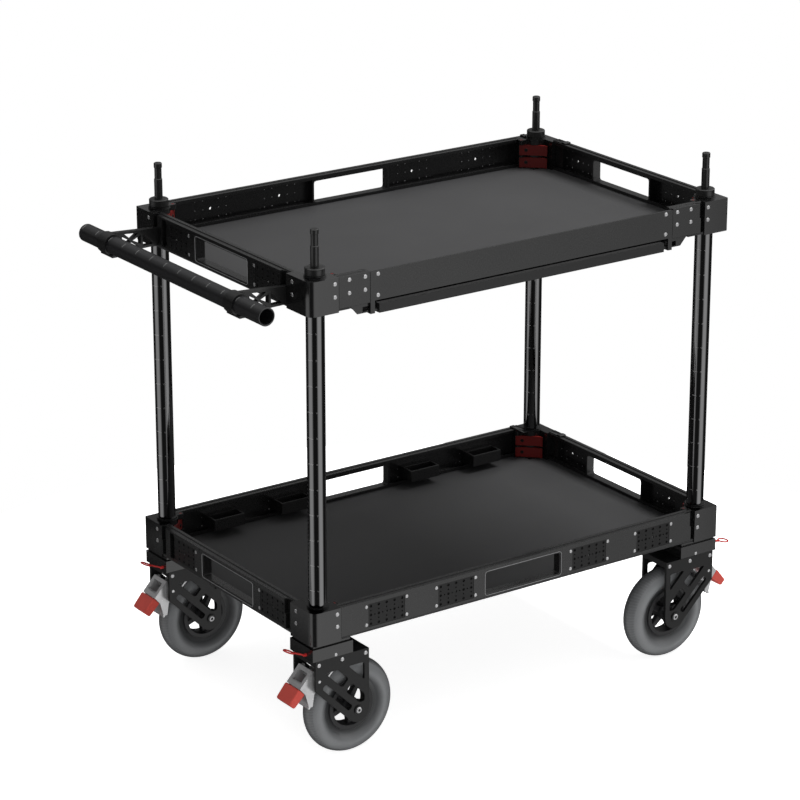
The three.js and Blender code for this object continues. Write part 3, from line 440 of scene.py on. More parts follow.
def bridge(made, first, second):
    """Faces between two closed rings of as many points."""
    for i, point in enumerate(first):
        j = (i + 1) % len(first)
        made.faces.new((point, first[j], second[j], second[i]))


def turned(name, profile, sides, place, smooth_angle=35):
    """A closed profile of (radius, height) swept round Z, then put in place by a matrix."""
    made = bmesh.new()
    rows = []
    turn = [2 * math.pi * i / sides for i in range(sides)]
    for radius, height in profile:
        around = [(radius * math.cos(a), radius * math.sin(a), height) for a in turn]
        rows.append([made.verts.new(p) for p in around])
    for first, second in zip(rows, rows[1:] + rows[:1]):
        bridge(made, first, second)
    bmesh.ops.recalc_face_normals(made, faces=made.faces)
    soften(made, smooth_angle)
    mesh = mesh_from(made, name)
    mesh.transform(place)
    return mesh


# %% [markdown]
# A post is a tube with a cap and a stud on top, and a rack down its left side, turned a little
# to the back. The rack lies in a flat-bottomed groove, so the section of the tube changes between
# two heights: the points that face that way move in to the floor of the groove there.

# %% Posts
TUBE_INNER = 14.5 * MM
CHAMFER = 1.2 * MM
CAP, CAP_HEIGHT = 18.9 * MM, 13.4 * MM
PLUG_DEPTH = 30 * MM
STUD, STUD_HEIGHT = 8.0 * MM, 71.5 * MM
NECK, NECK_HEIGHT = 7.0 * MM, 21.5 * MM
HEAD_HEIGHT = 10 * MM
GROOVE_HALF = 4.2 * MM
GROOVE_STEP = 0.02 * MM
GROOVE_MARGIN = 14 * MM
POST_SIDES = 72


def section_angles():
    edge = math.asin(GROOVE_HALF / TUBE_OUTER)
    angles = [2 * math.pi * i / POST_SIDES for i in range(POST_SIDES)]
    far = [a for a in angles if abs(math.remainder(a - RACK_ANGLE, 2 * math.pi)) > edge * 1.25]
    near = [RACK_ANGLE + edge * share for share in (-1, -0.97, -0.5, 0, 0.5, 0.97, 1)]
    return sorted(far + near), edge * 0.98


def post_mesh(name, at, bottom, collar, top, groove):
    angles, inside = section_angles()

    def ring(radius, height, carved=False):
        points = []
        for a in angles:
            x, y = radius * math.cos(a), radius * math.sin(a)
            off = math.remainder(a - RACK_ANGLE, 2 * math.pi)
            if carved and abs(off) < inside:
                reach = radius * math.sin(off)
                x = GROOVE_FLOOR * math.cos(RACK_ANGLE) - reach * math.sin(RACK_ANGLE)
                y = GROOVE_FLOOR * math.sin(RACK_ANGLE) + reach * math.cos(RACK_ANGLE)
            points.append((at.x + x, at.y + y, height))
        return points

    cap_low = collar - CAP_HEIGHT
    head_low = top - HEAD_HEIGHT
    neck_low = head_low - NECK_HEIGHT
    low, high = groove
    slack = 0.5 * MM
    sections = [
        (TUBE_INNER, collar - PLUG_DEPTH), (TUBE_INNER, bottom),
        (TUBE_OUTER - CHAMFER / 2, bottom), (TUBE_OUTER, bottom + CHAMFER / 2),
        (TUBE_OUTER, low), (TUBE_OUTER, low + GROOVE_STEP, True),
        (TUBE_OUTER, high - GROOVE_STEP, True), (TUBE_OUTER, high),
        (TUBE_OUTER, cap_low), (CAP - slack, cap_low), (CAP, cap_low + slack),
        (CAP, collar - 3.2 * MM), (CAP - slack, collar - 2.9 * MM),
        (CAP - slack, collar - 2.4 * MM), (CAP, collar - 2.1 * MM),
        (CAP, collar - CHAMFER), (CAP - CHAMFER, collar), (STUD, collar),
        (STUD, neck_low - 0.8 * MM), (STUD - 0.6 * MM, neck_low), (NECK, neck_low + 0.3 * MM),
        (NECK, head_low - 0.3 * MM), (STUD - 0.6 * MM, head_low), (STUD, head_low + 0.8 * MM),
        (STUD, top - CHAMFER), (STUD - CHAMFER, top),
    ]
    made = bmesh.new()
    rows = [[made.verts.new(p) for p in ring(*section)] for section in sections]
    for first, second in zip(rows, rows[1:]):
        bridge(made, first, second)
    made.faces.new(rows[-1])
    made.faces.new(rows[0][::-1])
    bmesh.ops.recalc_face_normals(made, faces=made.faces)
    soften(made, 32)
    return mesh_from(made, name)


LIP = 4 * MM
TOPS = {level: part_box(f"{level}_block_fl")[1].z - LIP for level in ("lower", "upper")}
groove = (TOPS["lower"] + GROOVE_MARGIN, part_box("upper_block_fl")[0].z - GROOVE_MARGIN)
for tag, at in posts.items():
    low, high = post_boxes[tag]
    name = f"post_tube_{tag}"
    mesh = post_mesh(name, at, low.z, high.z - STUD_HEIGHT, high.z, groove)
    new_piece(name, mesh, post_blacks[tag], "lower_shelf", (f"post_{tag}",))
print("posts from", round(low.z / MM, 1), "to", round(high.z / MM, 1), "mm")

# %% [markdown]
# The handle is the same tube, open at both ends, so its profile is a closed ring of four corners
# with broken edges.

# %% Handle tube
half = (tube_high.y - tube_low.y) / 2
edge = 0.7 * MM
profile = [
    (TUBE_INNER, half - edge), (TUBE_INNER, edge - half), (TUBE_INNER + edge, -half),
    (TUBE_OUTER - edge, -half), (TUBE_OUTER, edge - half), (TUBE_OUTER, half - edge),
    (TUBE_OUTER - edge, half), (TUBE_INNER + edge, half),
]
lay_y = Matrix.Rotation(math.radians(90), 4, "X")
mesh = turned("grip_tube", profile, 72, Matrix.Translation(tube_middle) @ lay_y)
new_piece("grip_tube", mesh, tube_black, "upper_shelf", ("handle_tube",))
print("handle tube", round(2 * half / MM), "mm long")

# %% [markdown]
# A tyre is a ring of rubber that sits in the rim. Its section is a round whose sidewalls pinch in
# to the beads, with a shallow step where the tread starts. The tread has fine slanting lugs. They
# are too shallow to change the outline, so the material makes them, by the angle round the axle.
# The material also paints light and shade by the radius: a painted highlight in a pale band round
# the middle of the sidewall, painted shade toward the rim and on the tread, and a little more
# painted shade between the lugs.

# %% Tyres
WHEEL = 96.0 * MM
SECTION = 23.6 * MM
SEAT = 46.0 * MM
BEAD_HALF = 12.0 * MM
ARC = math.radians(128)
ARC_STEPS = 64
TREAD_STEP = 0.6 * MM
LUGS = 96
LUG_SLANT = 30 * MM


def tyre_profile():
    middle = WHEEL - SECTION
    points = [(SEAT, BEAD_HALF), (SEAT, -BEAD_HALF)]
    for i in range(ARC_STEPS + 1):
        turn = ARC * (2 * i / ARC_STEPS - 1)
        from_top = abs(math.degrees(turn))
        pinch = max(0.0, (from_top - 84) / 44)
        radius = SECTION - (TREAD_STEP if 40 < from_top < 44 else 0.0)
        half_width = radius * math.sin(turn) * (1 - 0.26 * pinch * pinch)
        points.append((middle + radius * math.cos(turn), half_width))
    return points


def tyre_rubber(name, axle):
    finish = Finish(name, Metallic=0.0, Specular_IOR_Level=0.6)
    point, (x, y, z) = finish.place()
    across, down = x - axle.x, z - axle.z
    out = distance(across, down)
    fine = finish.noise(point, 420.0, 3)
    dust = finish.noise(point, 24.0, 3)
    pale = finish.mix(dust * 0.6 + fine * 0.4, (0.150, 0.155, 0.160, 1), (0.235, 0.242, 0.248, 1))
    # Painted light and shade: pale round the middle of the sidewall, darker toward the rim and on
    # the tread.
    painted_sidewall_light = out.band(50 * MM, 74 * MM) * (1 - out.band(86 * MM, 93 * MM) * 0.35)
    tread = out.band(88 * MM, 89 * MM)
    slant = abs(y - axle.y) / LUG_SLANT
    turn = down.arctan2(across) * (LUGS / (2 * math.pi))
    lug = abs((turn + slant).fract() - 0.5).band(0.16, 0.26)
    # Painted shade also darkens the tread between the lugs.
    shade = painted_sidewall_light * (1 - tread * lug * 0.18)
    finish.drive("Base Color", finish.mix(shade, (0.030, 0.031, 0.032, 1), pale))
    finish.drive("Roughness", 0.40 + (fine - 0.5) * 0.2)
    finish.bump(fine * 0.25 + tread * (1 - lug) * 0.6, 0.4, 1.0 * MM)
    return finish.material


axles = {}
for tag in CORNERS:
    low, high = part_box(f"tyre_{tag}")
    axles[tag] = (low + high) / 2
    place = Matrix.Translation(axles[tag]) @ lay_y
    mesh = turned(f"tyre_ring_{tag}", tyre_profile(), 96, place, 60)
    rubber = tyre_rubber(f"tyre_grey_{tag}", axles[tag])
    new_piece(f"tyre_ring_{tag}", mesh, rubber, f"wheel_{tag}", (f"tyre_{tag}",))
print("tyres", round(2 * WHEEL / MM), "mm across")

# %% [markdown]
# A rim is one black moulding: a band under the tyre, a hub as long as the fork is wide inside,
# and five tapered spokes. The band and the hub are turned. A spoke is a rounded box that gets
# narrower outward, and the copies are made by turning it round the axle.

# %% Rims
BAND_IN = 40.7 * MM
BAND_HALF = 15.6 * MM
FLANGE = 50.4 * MM
HUB = 17.0 * MM
HUB_HALF = 31.0 * MM
HUB_STEP = 3 * MM
BORE = 6.3 * MM
SPOKES = 5
SPOKE_DEGREES = {"fl": 203, "fr": 151, "bl": 203, "br": 151}
SPOKE_NEAR_HALF, SPOKE_FAR_HALF, SPOKE_DEPTH_HALF = 6.5 * MM, 4.6 * MM, 6.0 * MM


def baked(piece, name):
    """The mesh of a piece with its modifiers applied. The piece itself is removed."""
    bpy.context.view_layer.update()
    shapes = bpy.context.evaluated_depsgraph_get()
    mesh = bpy.data.meshes.new_from_object(piece.evaluated_get(shapes), depsgraph=shapes)
    mesh.name = name
    bpy.data.objects.remove(piece)
    return mesh


def joined(meshes, name):
    """One mesh from several that overlap, by Boolean union."""
    tool = linked("base", meshes[0])
    helpers = [linked("helper", mesh) for mesh in meshes[1:]]
    for helper in helpers:
        modify(tool, "union", "BOOLEAN", operation="UNION", solver="EXACT", object=helper)
    result = baked(tool, name)
    for helper in helpers:
        bpy.data.objects.remove(helper)
    return result


def spoke_mesh(turn):
    made = bmesh.new()
    near, far = HUB - HUB_STEP, BAND_IN + 1.5 * MM
    section = [(near, -SPOKE_NEAR_HALF), (far, -SPOKE_FAR_HALF), (far, SPOKE_FAR_HALF),
               (near, SPOKE_NEAR_HALF)]
    back = [made.verts.new((x, y, -SPOKE_DEPTH_HALF)) for x, y in section]
    front = [made.verts.new((x, y, SPOKE_DEPTH_HALF)) for x, y in section]
    made.faces.new(back[::-1])
    made.faces.new(front)
    bridge(made, back, front)
    bmesh.ops.bevel(made, geom=list(made.edges), offset=1.4 * MM, segments=3, affect="EDGES",
                    profile=0.6)
    mesh = mesh_from(made, "spoke")
    mesh.transform(Matrix.Rotation(turn, 4, "Z"))
    return mesh


def rim_mesh(name, degrees):
    lip = 1.0 * MM
    half_band = [
        (SEAT - 0.3 * MM, BAND_HALF - 5 * MM), (FLANGE - lip, BAND_HALF - 2.0 * MM),
        (FLANGE, BAND_HALF - 1.4 * MM), (FLANGE, BAND_HALF - lip), (FLANGE - lip, BAND_HALF),
        (BAND_IN + lip, BAND_HALF), (BAND_IN, BAND_HALF - lip),
    ]
    band = half_band + [(radius, -height) for radius, height in half_band[::-1]]
    slim = HUB - HUB_STEP
    half_hub = [(BORE, HUB_HALF), (slim - lip, HUB_HALF), (slim, HUB_HALF - lip),
                (slim, 16 * MM), (HUB, 12 * MM)]
    hub = [(radius, -height) for radius, height in half_hub] + half_hub[::-1]
    parts = [turned("band", band, 96, Matrix()), turned("hub", hub, 64, Matrix())]
    for i in range(SPOKES):
        parts.append(spoke_mesh(math.radians(degrees) + 2 * math.pi * i / SPOKES))
    made = bmesh.new()
    made.from_mesh(joined(parts, name))
    soften(made, 35)
    return mesh_from(made, name)


for tag, axle in axles.items():
    mesh = rim_mesh(f"rim_cast_{tag}", SPOKE_DEGREES[tag])
    mesh.transform(Matrix.Translation(axle) @ lay_y)
    new_piece(f"rim_cast_{tag}", mesh, rim_black, f"wheel_{tag}", (f"rim_{tag}",))
print("rims with", SPOKES, "spokes")

# %% [markdown]
# Small parts repeat all over the cart, so Geometry Nodes makes them. A tree is built once in the
# script: it builds one screw or one rack tooth, then sets a copy on every point of a mesh that
# holds nothing but the places and, in an attribute, the way each one faces. The sizes are named
# inputs of the tree, so one tree makes screws of any size.


# %% Geometry Nodes trees from a script
class Graph(Wiring):
    """A Geometry Nodes tree with named sizes as inputs."""

    def __init__(self, name, sizes):
        super().__init__(bpy.data.node_groups.new(name, "GeometryNodeTree"))
        face = self.tree.interface
        face.new_socket("Geometry", in_out="INPUT", socket_type="NodeSocketGeometry")
        for label, value in sizes.items():
            kind = "NodeSocketInt" if isinstance(value, int) else "NodeSocketFloat"
            face.new_socket(label, in_out="INPUT", socket_type=kind).default_value = value
        for label in ("Finish", "Plate Finish"):
            face.new_socket(label, in_out="INPUT", socket_type="NodeSocketMaterial")
        face.new_socket("Geometry", in_out="OUTPUT", socket_type="NodeSocketGeometry")
        self.given = self.node("NodeGroupInput").outputs
        self.sizes = [Value(self, self.given[label]) for label in sizes]

    def copies(self, points, shape, **turn):
        return self.get("GeometryNodeInstanceOnPoints", Points=points, Instance=shape, **turn)

    def moved(self, shape, **change):
        return self.get("GeometryNodeTransform", Geometry=shape, **change)

    def together(self, shapes):
        join = self.node("GeometryNodeJoinGeometry")
        for shape in shapes:
            self.tree.links.new(shape, join.inputs[0])
        return join.outputs[0]

    def cut(self, shape, tool):
        settings = {"operation": "DIFFERENCE", "solver": "EXACT"}
        return self.get("GeometryNodeMeshBoolean", settings, at0=shape, at1=tool)

    def real(self, shape, finish):
        """Instances made real, with their finish."""
        real = self.get("GeometryNodeRealizeInstances", Geometry=shape)
        return self.get("GeometryNodeSetMaterial", Geometry=real, Material=finish)

    def attribute(self, name):
        return self.get("GeometryNodeInputNamedAttribute", {"data_type": "FLOAT_VECTOR"}, Name=name)

    def scatter(self, shape):
        """A copy on every given point, its Z along `facing` and its X along `along`."""
        axes = {"primary_axis": "Z", "secondary_axis": "X"}
        turn = self.get("FunctionNodeAxesToRotation", axes, Primary_Axis=self.attribute("facing"),
                        Secondary_Axis=self.attribute("along"))
        copies = self.copies(self.given["Geometry"], shape, Rotation=turn)
        self.deliver(self.real(copies, self.given["Finish"]))

    def deliver(self, shape):
        self.feed(self.node("NodeGroupOutput").inputs[0], shape)


def set_inputs(step, graph, wanted):
    """A modifier's inputs are set by their sockets' identifiers."""
    step.node_group = graph.tree
    for item in graph.tree.interface.items_tree:
        if item.in_out == "INPUT" and item.name in wanted:
            step[item.identifier] = wanted[item.name]


def repeated(name, graph, places, material, body, sizes=()):
    """A new piece: one tree baked on a list of (point, facing, along)."""
    host = bpy.data.meshes.new(name)
    host.from_pydata([tuple(p[0]) for p in places], [], [])
    for index, label in ((1, "facing"), (2, "along")):
        field = host.attributes.new(label, "FLOAT_VECTOR", "POINT")
        for i, place in enumerate(places):
            field.data[i].vector = place[index]
    piece = linked(name, host)
    set_inputs(piece.modifiers.new("nodes", "NODES"), graph, {**dict(sizes), "Finish": material})
    new_piece(name, baked(piece, name), None, body)


# %% [markdown]
# A button screw is a low cone with a hex socket. The socket is cut before the copies are made,
# so the cut is done once however many screws there are.


# %% Screw tree
def screw_graph():
    graph = Graph("screws", {"Radius": 2.6 * MM, "Height": 0.9 * MM, "Sink": 0.25 * MM,
                             "Socket": 1.3 * MM, "Floor": 0.3})
    radius, height, sink, hex_radius, floor = graph.sizes
    head = graph.get("GeometryNodeMeshCone", Vertices=20, Radius_Bottom=radius,
                     Radius_Top=radius * 0.74, Depth=height)
    head = graph.moved(head, Translation=graph.vector(Z=sink * -1.0))
    socket = graph.get("GeometryNodeMeshCylinder", Vertices=6, Radius=hex_radius,
                       Depth=height * 2.0)
    socket = graph.moved(socket, Translation=graph.vector(Z=height * (floor + 1.0)))
    graph.scatter(graph.cut(head, socket))
    return graph


screws = screw_graph()
FL = Vector((posts["fl"].x, posts["fl"].y, 0))
LEFT, UP = Vector((-1, 0, 0)), Vector((0, 0, 1))
FACING = {"front": Vector((0, -1, 0)), "back": Vector((0, 1, 0)), "left": LEFT, "right": -LEFT}
OUT = 3.0 * MM
outer_low, outer_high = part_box("lower_deck")
FACE = {"front": outer_low.y - OUT, "back": outer_high.y + OUT, "left": outer_low.x - OUT,
        "right": outer_high.x + OUT}


def on_face(side, along, height):
    """A place on one side's outer face: millimetres from the front left post, and a height."""
    if side in ("front", "back"):
        point = Vector((FL.x + along * MM, FACE[side], height))
    else:
        point = Vector((FACE[side], FL.y + along * MM, height))
    return point, FACING[side].copy(), UP.copy()


# %% [markdown]
# Two bolts hold each leg of a corner block to its post sleeve, four screws hold each hole plate
# to a rail, and the end pieces and the drop front have their own. The places were read off the
# photograph, in millimetres from the front left post and down from the shelf's top.

# %% Screws on the shelves
BLOCK_DROPS = (11.6, 36.4)
PLATE_DROPS = (13.0, 49.7)
END_DROPS = (8.5, 33.6)
PANEL_DROPS = (8.3, 48.6)
END_X = (53.5, 88.1, 819.2, 853.4)
PANEL_X = (116.4, 790.8)
BLOCK_BOLTS = {"front": (22.2, 896.7), "back": (18.3, 892.8), "left": (26.0, 531.7),
               "right": (15.3, 521.0)}
PLATE_SCREW = 46.2
PLATE_PITCH = 161.6
MIDDLE_X, MIDDLE_Y = 457.5, 273.5
SIDE_SHIFT = {"left": -4.7, "right": 4.7}
MIDDLES = {"front": MIDDLE_X, "back": MIDDLE_X,
           **{side: MIDDLE_Y + shift for side, shift in SIDE_SHIFT.items()}}
LONG_PLATES = [MIDDLE_X + n * PLATE_PITCH for n in (-2, -1, 1, 2)]
SIDE_PLATES = {side: [MIDDLES[side] - PLATE_PITCH, MIDDLES[side] + PLATE_PITCH]
               for side in SIDE_SHIFT}
RAILS = {"lower": ("front", "back", "left", "right"), "upper": ("back", "left", "right")}


def block_bolts(level):
    return [on_face(side, along, TOPS[level] - drop * MM)
            for side, places in BLOCK_BOLTS.items() for along in places for drop in BLOCK_DROPS]


def plate_screws(level):
    places = []
    sides = ("front", "back") if level == "lower" else ("back",)
    columns = [plate + sign * PLATE_SCREW for plate in LONG_PLATES for sign in (-1, 1)]
    for drop in PLATE_DROPS:
        height = TOPS[level] - drop * MM
        places += [on_face(side, along, height) for side in sides for along in columns]
        for side, (near, far) in SIDE_PLATES.items():
            ends = (near + PLATE_SCREW, far - PLATE_SCREW)
            places += [on_face(side, along, height) for along in ends]
    return places


def front_screws(columns, drops):
    heights = [TOPS["upper"] - drop * MM for drop in drops]
    return [on_face("front", along, height) for along in columns for height in heights]


bolt_size = {"Radius": 4.4 * MM, "Height": 1.2 * MM, "Socket": 1.6 * MM}
small_size = {"Radius": 3.7 * MM, "Height": 0.9 * MM, "Socket": 1.3 * MM}
sets = {}
for level in ("lower", "upper"):
    bolts = block_bolts(level) + (front_screws(END_X, END_DROPS) if level == "upper" else [])
    sets[f"bolts_{level}"] = (bolts, bolt_size, f"{level}_shelf")
    sets[f"plate_screws_{level}"] = (plate_screws(level), small_size, f"{level}_shelf")
sets["panel_screws"] = (front_screws(PANEL_X, PANEL_DROPS), bolt_size, "drop_front")
for name, (places, size, body) in sets.items():
    # Screws that face left take a darker copy of the steel: painted shade.
    left = [p for p in places if p[1] == LEFT]
    repeated(name, screws, [p for p in places if p[1] != LEFT], screw_steel, body, size)
    if left:
        repeated(name + "_left", screws, left, side_steel, body, size)
    print(name, len(places))

# %% [markdown]
# Each caster has three bolts through the top of its fork on both sides, a bolt through the mount,
# and a bright ring round the head of its axle.

# %% Screws on the casters
FORK_HALF = 39.1 * MM
FORK_BOLTS_OUT, FORK_BOLTS_UP = (-17.4, 35.8, 88.1), 113.6
MOUNT_BOLT_OUT, MOUNT_BOLT_UP = 50.0, 126.7
AXLE_HEAD = 2.5 * MM
ring_size = {"Radius": 6.6 * MM, "Height": 1.5 * MM, "Socket": 3.4 * MM, "Sink": 0.3 * MM,
             "Floor": -0.6}


def beside_axle(tag, sign, out, up, proud=0.0):
    """A place on the fork's outer face: outward and upward from the axle in millimetres."""
    axle, side = axles[tag], CORNERS[tag][0]
    face = axle.y + sign * FORK_HALF + sign * proud
    point = Vector((axle.x + side * out * MM, face, axle.z + up * MM))
    return point, Vector((0, sign, 0)), UP.copy()


for tag in CORNERS:
    fork, mount, rings = [], [], []
    for sign in (-1, 1):
        fork += [beside_axle(tag, sign, out, FORK_BOLTS_UP) for out in FORK_BOLTS_OUT]
        mount.append(beside_axle(tag, sign, MOUNT_BOLT_OUT, MOUNT_BOLT_UP))
        rings.append(beside_axle(tag, sign, 0, 0, AXLE_HEAD))
    caster = f"caster_{tag}"
    repeated(f"fork_bolts_{tag}", screws, fork, screw_steel, caster, bolt_size)
    repeated(f"mount_bolts_{tag}", screws, mount, screw_steel, "lower_shelf", small_size)
    repeated(f"axle_rings_{tag}", screws, rings, screw_steel, caster, ring_size)
print("screws on four casters")

# %% [markdown]
# Each rail carries plates with a grid of threaded holes, a little sunk in its face. They are cut
# by one more tree, which is set on the rail itself: it builds a slab for the sunk face and a grid
# of pins, repeats them for every plate, and takes them away from the rail. The slab carries a
# duller finish, and the pins a near-black matt one, which is painted shade in the holes. The cut
# leaves each finish behind.


# %% Hole plates
HOLE_PITCH = 18.0
PLATE_MIDDLE_DROP = 31.35


def cut_rows(graph, piece, shape, finish):
    """Take a shape out of the piece at every plate, and leave the finish in the cut."""
    near, step, count, x, y, z, turn = graph.sizes[-7:]
    upright = graph.moved(shape, Rotation=(math.radians(90), 0, 0))
    lines = []
    for sign in (1.0, -1.0):
        start, offset = graph.vector(X=near * sign), graph.vector(X=step * sign)
        lines.append(graph.get("GeometryNodeMeshLine", Count=count, Start_Location=start,
                               Offset=offset))
    plates = graph.copies(graph.together(lines), upright)
    placed = graph.moved(plates, Translation=graph.vector(X=x, Y=y, Z=z),
                         Rotation=graph.vector(Z=turn))
    return graph.cut(piece, graph.real(placed, finish))


def hole_graph():
    graph = Graph("hole_plates", {
        "Columns": 5, "Rows": 3, "Hole Pitch": HOLE_PITCH * MM, "Hole": 2.9 * MM, "Pin": 1.6 * MM,
        "Plate Width": 84.0 * MM, "Plate Height": 47.0 * MM, "Recess": 0.6 * MM,
        "Depth": 2.6 * MM, "Near": PLATE_PITCH * MM, "Plate Pitch": PLATE_PITCH * MM, "Count": 2,
        "X": 0.0, "Y": 0.0, "Z": 0.0, "Turn": 0.0})
    columns, rows, pitch, hole, small, width, height, recess, depth = graph.sizes[:9]
    spaces = columns - 1.0

    def pins(points, radius, sides):
        pin = graph.get("GeometryNodeMeshCylinder", Vertices=sides, Radius=radius,
                        Depth=depth * 2.0)
        return graph.copies(points, pin)

    def grid(rows, radius):
        points = graph.get("GeometryNodeMeshGrid", Size_X=pitch * spaces,
                           Size_Y=pitch * (rows - 1.0), Vertices_X=columns, Vertices_Y=rows)
        return pins(points, radius, 12)

    def dots_between():
        """Small holes halfway between the columns of the middle row."""
        start = pitch * (spaces * -0.5) + pitch * 0.5
        line = graph.get("GeometryNodeMeshLine", Count=spaces, Offset=graph.vector(X=pitch),
                         Start_Location=graph.vector(X=start))
        return pins(line, small, 8)

    holes = graph.together([grid(rows, hole), grid(rows - 1.0, small), dots_between()])
    slab = graph.get("GeometryNodeMeshCube", Size=graph.vector(X=width, Y=height, Z=recess * 2.0))
    piece = cut_rows(graph, graph.given["Geometry"], slab, graph.given["Plate Finish"])
    graph.deliver(cut_rows(graph, piece, holes, graph.given["Finish"]))
    return graph


holes = hole_graph()


def pierce(node, side, level):
    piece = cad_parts[node]
    point, _, _ = on_face(side, MIDDLES[side], TOPS[level] - PLATE_MIDDLE_DROP * MM)
    long = side in ("front", "back")
    step = piece.modifiers.new("holes", "NODES")
    set_inputs(step, holes, {
        # The holes take the near-black finish as painted shade.
        "X": point.x, "Y": point.y, "Z": point.z, "Finish": void_black,
        "Plate Finish": plate_black, "Turn": 0.0 if long else math.radians(90),
        "Count": 2 if long else 1})
    order = list(piece.modifiers)
    piece.modifiers.move(order.index(step), len(order) - 2)


for level, sides in RAILS.items():
    for side in sides:
        pierce(f"{level}_rail_{side}", side, level)
print("holes cut in seven rails")

# %% [markdown]
# The rack on each post is a row of square teeth in the floor of its groove. One tooth is a block
# with sloping flanks, and a copy stands every 8.33 mm. It stays inside the tube's round, because
# the sleeves of the upper shelf slide over it.


# %% Rack teeth
RACK_PITCH = 8.33 * MM
RACK_WAY = Vector((math.cos(RACK_ANGLE), math.sin(RACK_ANGLE), 0))
HALF_DIAGONAL = 0.70710678


def tooth_graph():
    graph = Graph("rack_teeth", {"Width": 8.0 * MM, "Length": 4.4 * MM, "Rise": 2.2 * MM,
                                 "Flank": 0.80})
    width, length, rise, flank = graph.sizes
    block = graph.get("GeometryNodeMeshCone", Vertices=4, Radius_Bottom=HALF_DIAGONAL,
                      Radius_Top=flank * HALF_DIAGONAL, Depth=rise)
    square = graph.moved(block, Rotation=(0, 0, math.radians(45)))
    sized = graph.moved(square, Scale=graph.vector(X=length, Y=width, Z=1.0))
    graph.scatter(graph.moved(sized, Translation=(0, 0, -0.3 * MM)))
    return graph


teeth = tooth_graph()
low, high = groove
count = int((high - low) / RACK_PITCH)
start = low + ((high - low) - (count - 1) * RACK_PITCH) / 2
for tag, at in posts.items():
    foot = Vector((at.x, at.y, start)) + RACK_WAY * GROOVE_FLOOR
    places = [(foot + UP * i * RACK_PITCH, RACK_WAY.copy(), UP.copy()) for i in range(count)]
    repeated(f"rack_{tag}", teeth, places, rim_black, "lower_shelf")
print("racks with", count, "teeth each")


# %% [markdown]
# A sliding latch lies on top of a rail beside the back right corner, over the mouth of the
# receiver slot. It is a thin plate with a thumb bump at its free end, so its side outline is
# drawn in millimetres and given the width of the rail top.


# %% Latches
def latch(name, rail, block, axis, reach, shift, body):
    """A stepped plate along one rail, from a little inside the block's edge outward."""
    rail_low, rail_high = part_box(rail)
    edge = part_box(block)[0][axis] + shift * MM
    across = 1 - axis
    profile = [(5, -0.4), (5, 1.8), (12 - reach, 1.8), (10.5 - reach, 3.4), (1 - reach, 3.4),
               (-reach, 2.4), (-reach, -0.4)]
    made = bmesh.new()
    rings = []
    for side in (rail_low[across] + 2.5 * MM, rail_high[across] - 1.5 * MM):
        ring = []
        for along, up in profile:
            point = Vector((0, 0, rail_high.z + up * MM))
            point[axis] = edge + along * MM
            point[across] = side
            ring.append(made.verts.new(point))
        rings.append(ring)
    made.faces.new(rings[0])
    made.faces.new(rings[1][::-1])
    bridge(made, *rings)
    bmesh.ops.recalc_face_normals(made, faces=made.faces)
    bmesh.ops.bevel(made, geom=list(made.edges), offset=0.5 * MM, segments=2, affect="EDGES",
                    profile=0.6)
    soften(made, 35)
    new_piece(name, mesh_from(made, name), block_black, body)


# Two latches of each shelf: the rail, the axis along it, the latch's length and its place.
LATCHES = {"side": ("right", 1, 34, 0), "back": ("back", 0, 14, 36)}
for level in RAILS:
    for word, (rail, axis, reach, shift) in LATCHES.items():
        latch(f"latch_{word}_{level}", f"{level}_rail_{rail}", f"{level}_block_br", axis, reach,
              shift, f"{level}_shelf")
print("four latches")

# %% [markdown]
# Each window's frame is bevelled, and the bevel catches a fine highlight. A thin pale wire bent
# round the window is a painted highlight that stands for it: a rounded rectangle with a round
# section, half sunk in the rail's face.


# %% Painted highlight wires round the windows
WINDOW_FLOOR_RISE = 3 * MM
WINDOW_TOP_DROP = 7 * MM


def highlight_wire_graph():
    graph = Graph("window_trims", {"Width": 185.0 * MM, "Height": 50.0 * MM, "Corner": 6.0 * MM,
                                   "Wire": 0.55 * MM})
    width, height, corner, thickness = graph.sizes
    path = graph.get("GeometryNodeCurvePrimitiveQuadrilateral", Width=width, Height=height)
    bent = graph.get("GeometryNodeFilletCurve", {"mode": "POLY"}, Curve=path, Radius=corner,
                     Count=6)
    wire = graph.get("GeometryNodeCurvePrimitiveCircle", Resolution=6, Radius=thickness)
    graph.scatter(graph.get("GeometryNodeCurveToMesh", Curve=bent, Profile_Curve=wire))
    return graph


highlight_wires = highlight_wire_graph()
for level, sides in RAILS.items():
    low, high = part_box(f"{level}_rail_left")
    window_low, window_high = low.z + WINDOW_FLOOR_RISE, high.z - WINDOW_TOP_DROP
    places = []
    for side in sides:
        point, facing, _ = on_face(side, MIDDLES[side], (window_low + window_high) / 2)
        places.append((point, facing, UP.cross(facing)))
    # Pale wires round the windows: a painted highlight on the bevelled frames.
    repeated(f"window_trims_{level}", highlight_wires, places, trim_grey, f"{level}_shelf",
             {"Height": window_high - window_low})
print("window trims made")

# %% [markdown]
# The screws of the hole plates come through to the inner side of the rails as small ends, in a
# much darker copy of the steel that is painted shade. The threaded holes show there as specks, and
# each lever blade has a dark bolt at its spindle.

# %% Screw ends and lever bolts
WALL = 4.0 * MM
LEVER_FACE = 22.9 * MM
LEVER_BOLT = 17.0 * MM
LEVER_DROPS = (21.4, 47.7)
LEVER_DIAGONAL = math.sqrt(0.5)
end_size = {"Radius": 2.3 * MM, "Height": 0.8 * MM, "Socket": 1.0 * MM}
speck_size = {"Radius": 1.3 * MM, "Height": 0.5 * MM, "Socket": 0.8 * MM}
lever_size = {"Radius": 3.9 * MM, "Height": 1.4 * MM, "Socket": 1.7 * MM}


def through_wall(places):
    """The same places on the inner side of the wall, facing inward."""
    return [(point - facing * WALL, -facing, up) for point, facing, up in places]


